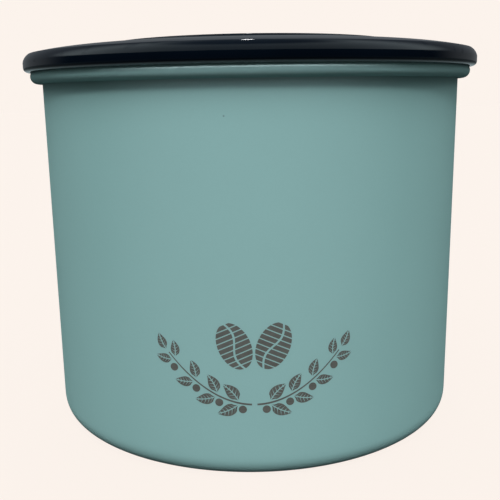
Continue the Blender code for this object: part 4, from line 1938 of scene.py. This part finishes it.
@dataclass
class Studio:
    """Plain pale floor and surroundings, four far lamps and the photograph's camera.

    Gloss sees cooler and dimmer surroundings than the camera does, with a bright card high in
    front and a dark low front.
    """

    image_width: float = 500.0
    focal_pixels: float = 715.48
    sensor_width: float = 36.0
    distance: float = 0.2079
    height: float = 0.08824
    pitch: float = 0.2156
    roll: float = -0.0156
    yaw: float = -0.0035
    nearest: float = 0.005
    background: Colour = (0.973, 0.896, 0.838)
    gloss_horizon: Colour = (0.84, 0.91, 0.96)
    gloss_floor: Colour = (0.31, 0.40, 0.42)
    key_level: float = 0.665
    key_angle: float = math.radians(32)
    key_elevation: float = math.radians(56)
    key_azimuth: float = math.radians(-4)
    spot_level: float = 0.19
    spot_angle: float = math.radians(6)
    spot_elevation: float = math.radians(46)
    glint_level: float = 0.14
    glint_angle: float = math.radians(2.5)
    glint_elevation: float = math.radians(70)
    glint_azimuth: float = math.radians(181.1)
    fill_level: float = 0.38
    fill_elevation: float = math.radians(14)
    fill_azimuth: float = math.radians(176)
    sky_level: float = 0.20
    dome_colour: Colour = (1.0, 1.0, 1.0)
    dome_level: float = 2.5
    dome_start: float = math.radians(24)
    dome_full: float = math.radians(59)
    dome_fading: float = math.radians(66)
    dome_end: float = math.radians(77)
    card_level: float = 6.0
    card_start: float = math.radians(14)
    card_full: float = math.radians(24)
    dark_share: float = 0.05
    card_back: float = 0.50
    card_side: float = 0.05
    card_colour: Colour = (0.83, 0.97, 1.00)
    floor_glow: float = 0.09
    floor_light: float = 2.20
    floor_own_share: float = 0.96
    floor_half_size: float = 4.0

    def add_camera(self) -> None:
        """Stand the camera in front, looking down on the rim, with the photograph's slight roll."""
        right = np.array([math.cos(self.yaw), -math.sin(self.yaw), 0.0])
        level = np.array([math.sin(self.yaw), math.cos(self.yaw), 0.0])
        upright = np.array([0.0, 0.0, 1.0])
        forward = level * math.cos(self.pitch) - upright * math.sin(self.pitch)
        up = level * math.sin(self.pitch) + upright * math.cos(self.pitch)
        tilted_right = right * math.cos(self.roll) + up * math.sin(self.roll)
        tilted_up = up * math.cos(self.roll) - right * math.sin(self.roll)
        lens = bpy.data.cameras.new("camera")
        lens.sensor_width = self.sensor_width
        lens.lens = self.focal_pixels / self.image_width * self.sensor_width
        lens.clip_start = self.nearest
        camera = bpy.data.objects.new("camera", lens)
        turn = Matrix(np.stack([tilted_right, tilted_up, -forward], axis=1).tolist()).to_4x4()
        camera.matrix_world = Matrix.Translation((0, -self.distance, self.height)) @ turn
        bpy.context.scene.collection.objects.link(camera)
        bpy.context.scene.camera = camera

    def add_lamp(self, name: str, level: float, angle: float, place: tuple[float, float],
                 mirrored: bool = False) -> None:
        """Add a far lamp, which shines from its place towards the canister.

        Args:
            name: Name of the lamp.
            level: Light on a surface that faces it, where 1 renders a colour as written.
            angle: Angle that its disc spans.
            place: Azimuth from the front, and elevation.
            mirrored: Whether gloss shows it.
        """
        lamp = bpy.data.lights.new(name, "SUN")
        lamp.energy = level * math.pi
        lamp.angle = angle
        stand = bpy.data.objects.new(name, lamp)
        azimuth, elevation = place
        level_reach = math.cos(elevation)
        away = Vector((
            math.sin(azimuth) * level_reach, -math.cos(azimuth) * level_reach, math.sin(elevation),
        ))
        stand.rotation_euler = away.to_track_quat("Z", "Y").to_euler()
        stand.visible_glossy = mirrored
        bpy.context.scene.collection.objects.link(stand)

    @staticmethod
    def ray(sheet: NodeSheet, name: str) -> Value:
        """1 for rays of one kind, by the Light Path node's name for it."""
        return sheet.node("ShaderNodeLightPath", output=name)

    @staticmethod
    def towards(sheet: NodeSheet) -> Value:
        """Direction in which a ray leaves the scene."""
        return sheet.node("ShaderNodeTexCoord", output="Generated")

    def seen(self, sheet: NodeSheet) -> Value:
        """1 for rays that show the surroundings: from the camera, a gloss or through glass."""
        direct = self.ray(sheet, "Is Camera Ray").math("MAXIMUM", self.ray(sheet, "Is Transmission Ray"))
        return direct.math("MAXIMUM", self.ray(sheet, "Is Glossy Ray"))

    def dome(self, sheet: NodeSheet) -> Value:
        """Level of the soft light overhead, which fades in and out with the sine of the elevation.

        Args:
            sheet: The surroundings' nodes.

        Returns:
            The level.
        """
        rise = sheet.height(self.towards(sheet))
        inner = rise.ease(math.sin(self.dome_start), math.sin(self.dome_full))
        outer = rise.ease(math.sin(self.dome_end), math.sin(self.dome_fading))
        return inner * outer * self.dome_level

    def front(self, sheet: NodeSheet) -> tuple[Value, Value]:
        """Tell the front from the back, and the card's height from what lies below it.

        Args:
            sheet: The surroundings' nodes.

        Returns:
            1 where a glossy ray looks to the front, and 1 where a ray looks as high as the card.
        """
        towards = self.towards(sheet)
        ahead = sheet.part(towards, "Y").ease(self.card_back, self.card_side)
        above = sheet.height(towards).ease(math.sin(self.card_start), math.sin(self.card_full))
        return ahead * self.ray(sheet, "Is Glossy Ray"), above

    def card(self, sheet: NodeSheet) -> Value:
        """Level of the pale card in front, which only gloss shows.

        Args:
            sheet: The surroundings' nodes.

        Returns:
            The level.
        """
        below = sheet.height(self.towards(sheet)).ease(math.sin(self.dome_end), math.sin(self.dome_full))
        ahead, above = self.front(sheet)
        return ahead * above * below * self.card_level

    def add_world(self) -> None:
        """Show pale surroundings, and add a low sky and a soft light overhead for matt surfaces.

        Gloss also shows the card and the dark low front.
        """
        world = bpy.data.worlds.new("surroundings")
        world.use_nodes = True
        sheet = NodeSheet(world.node_tree)
        sky = (self.sky_level, self.sky_level, self.sky_level)
        pale = sheet.mix(self.ray(sheet, "Is Glossy Ray"), self.background, self.gloss_horizon)
        even = sheet.mix(self.seen(sheet), sky, pale)
        ahead, above = self.front(sheet)
        even = sheet.mix(ahead * (1 - above), even, shaded(self.background, self.dark_share))
        dome = self.dome(sheet) * (1 - self.seen(sheet))
        around = sheet.node("ShaderNodeBackground", None, {"Color": even})
        overhead = sheet.node("ShaderNodeBackground", None, {
            "Color": (*self.dome_colour, 1.0), "Strength": dome,
        })
        card = sheet.node("ShaderNodeBackground", None, {
            "Color": (*self.card_colour, 1.0), "Strength": self.card(sheet),
        })
        lit = sheet.node("ShaderNodeAddShader", None, {0: around, 1: overhead})
        lit = sheet.node("ShaderNodeAddShader", None, {0: lit, 1: card})
        sheet.node("ShaderNodeOutputWorld", None, {"Surface": lit})
        bpy.context.scene.world = world

    def add_floor(self) -> None:
        """Lay a wide pale floor in the background's colour, mostly its own glow, with a dim bounce."""
        material, sheet = new_material("pale_floor")
        lit = shaded(self.background, 1 / self.floor_light)
        matt = sheet.node("ShaderNodeBsdfDiffuse", None, {"Color": (*lit, 1.0)})
        shown = sheet.mix(self.ray(sheet, "Is Glossy Ray"), self.background, self.gloss_floor)
        glow = sheet.node("ShaderNodeEmission", None, {"Color": shown})
        pale = sheet.node("ShaderNodeMixShader", None, {0: self.floor_own_share, 1: matt, 2: glow})
        bounce = self.floor_glow / self.floor_light
        dim = sheet.node("ShaderNodeBsdfDiffuse", None, {"Color": (bounce, bounce, bounce, 1.0)})
        surface = sheet.node("ShaderNodeMixShader", None, {0: self.seen(sheet), 1: dim, 2: pale})
        sheet.node("ShaderNodeOutputMaterial", None, {"Surface": surface})
        half = self.floor_half_size
        mesh = bpy.data.meshes.new("floor")
        mesh.from_pydata(
            [(-half, -half, 0), (half, -half, 0), (half, half, 0), (-half, half, 0)], [], [(0, 1, 2, 3)]
        )
        mesh.materials.append(material)
        floor = bpy.data.objects.new("floor", mesh)
        bpy.context.scene.collection.objects.link(floor)

    def build(self) -> None:
        """Set the stage."""
        self.add_camera()
        above = (self.key_azimuth, self.key_elevation)
        ahead = (self.key_azimuth, self.spot_elevation)
        beyond = (self.glint_azimuth, self.glint_elevation)
        behind = (self.fill_azimuth, self.fill_elevation)
        self.add_lamp("key", self.key_level, self.key_angle, above)
        self.add_lamp("spot", self.spot_level, self.spot_angle, ahead)
        self.add_lamp("glint", self.glint_level, self.glint_angle, beyond, mirrored=True)
        self.add_lamp("fill", self.fill_level, self.key_angle, behind)
        self.add_world()
        self.add_floor()
        bpy.context.scene.view_settings.view_transform = "Standard"


def main() -> None:
    """Make the finishes, the canister's pieces and the studio, and report each piece."""
    logging.basicConfig(level=logging.INFO, format="%(message)s")
    coat = PowderCoat().build()
    cup_steel = BrushedSteel().build()
    wire_steel = bright_steel.build()
    smoke = SmokePlastic().build()
    charcoal = charcoal_plastic.build()
    black = black_plastic.build()
    grey = grey_plastic.build()
    rubber = Silicone().build()
    etched = EtchedSteel().build()
    body = CanisterBody()
    sizes = InnerSizes()
    pieces = [
        *body.build(coat, cup_steel),
        *TopLid().build(body, smoke, rubber),
        *InnerLid(sizes).build(charcoal, grey, rubber, wire_steel),
        *LiftHandle(sizes).build(black),
        *Valve(sizes).build(grey, rubber, wire_steel),
        *EtchedSprig().build(body, etched),
    ]
    for piece in pieces:
        log.info("%s: %d faces", piece.name, len(piece.data.polygons))
    Studio().build()


if __name__ == "__main__":
    main()
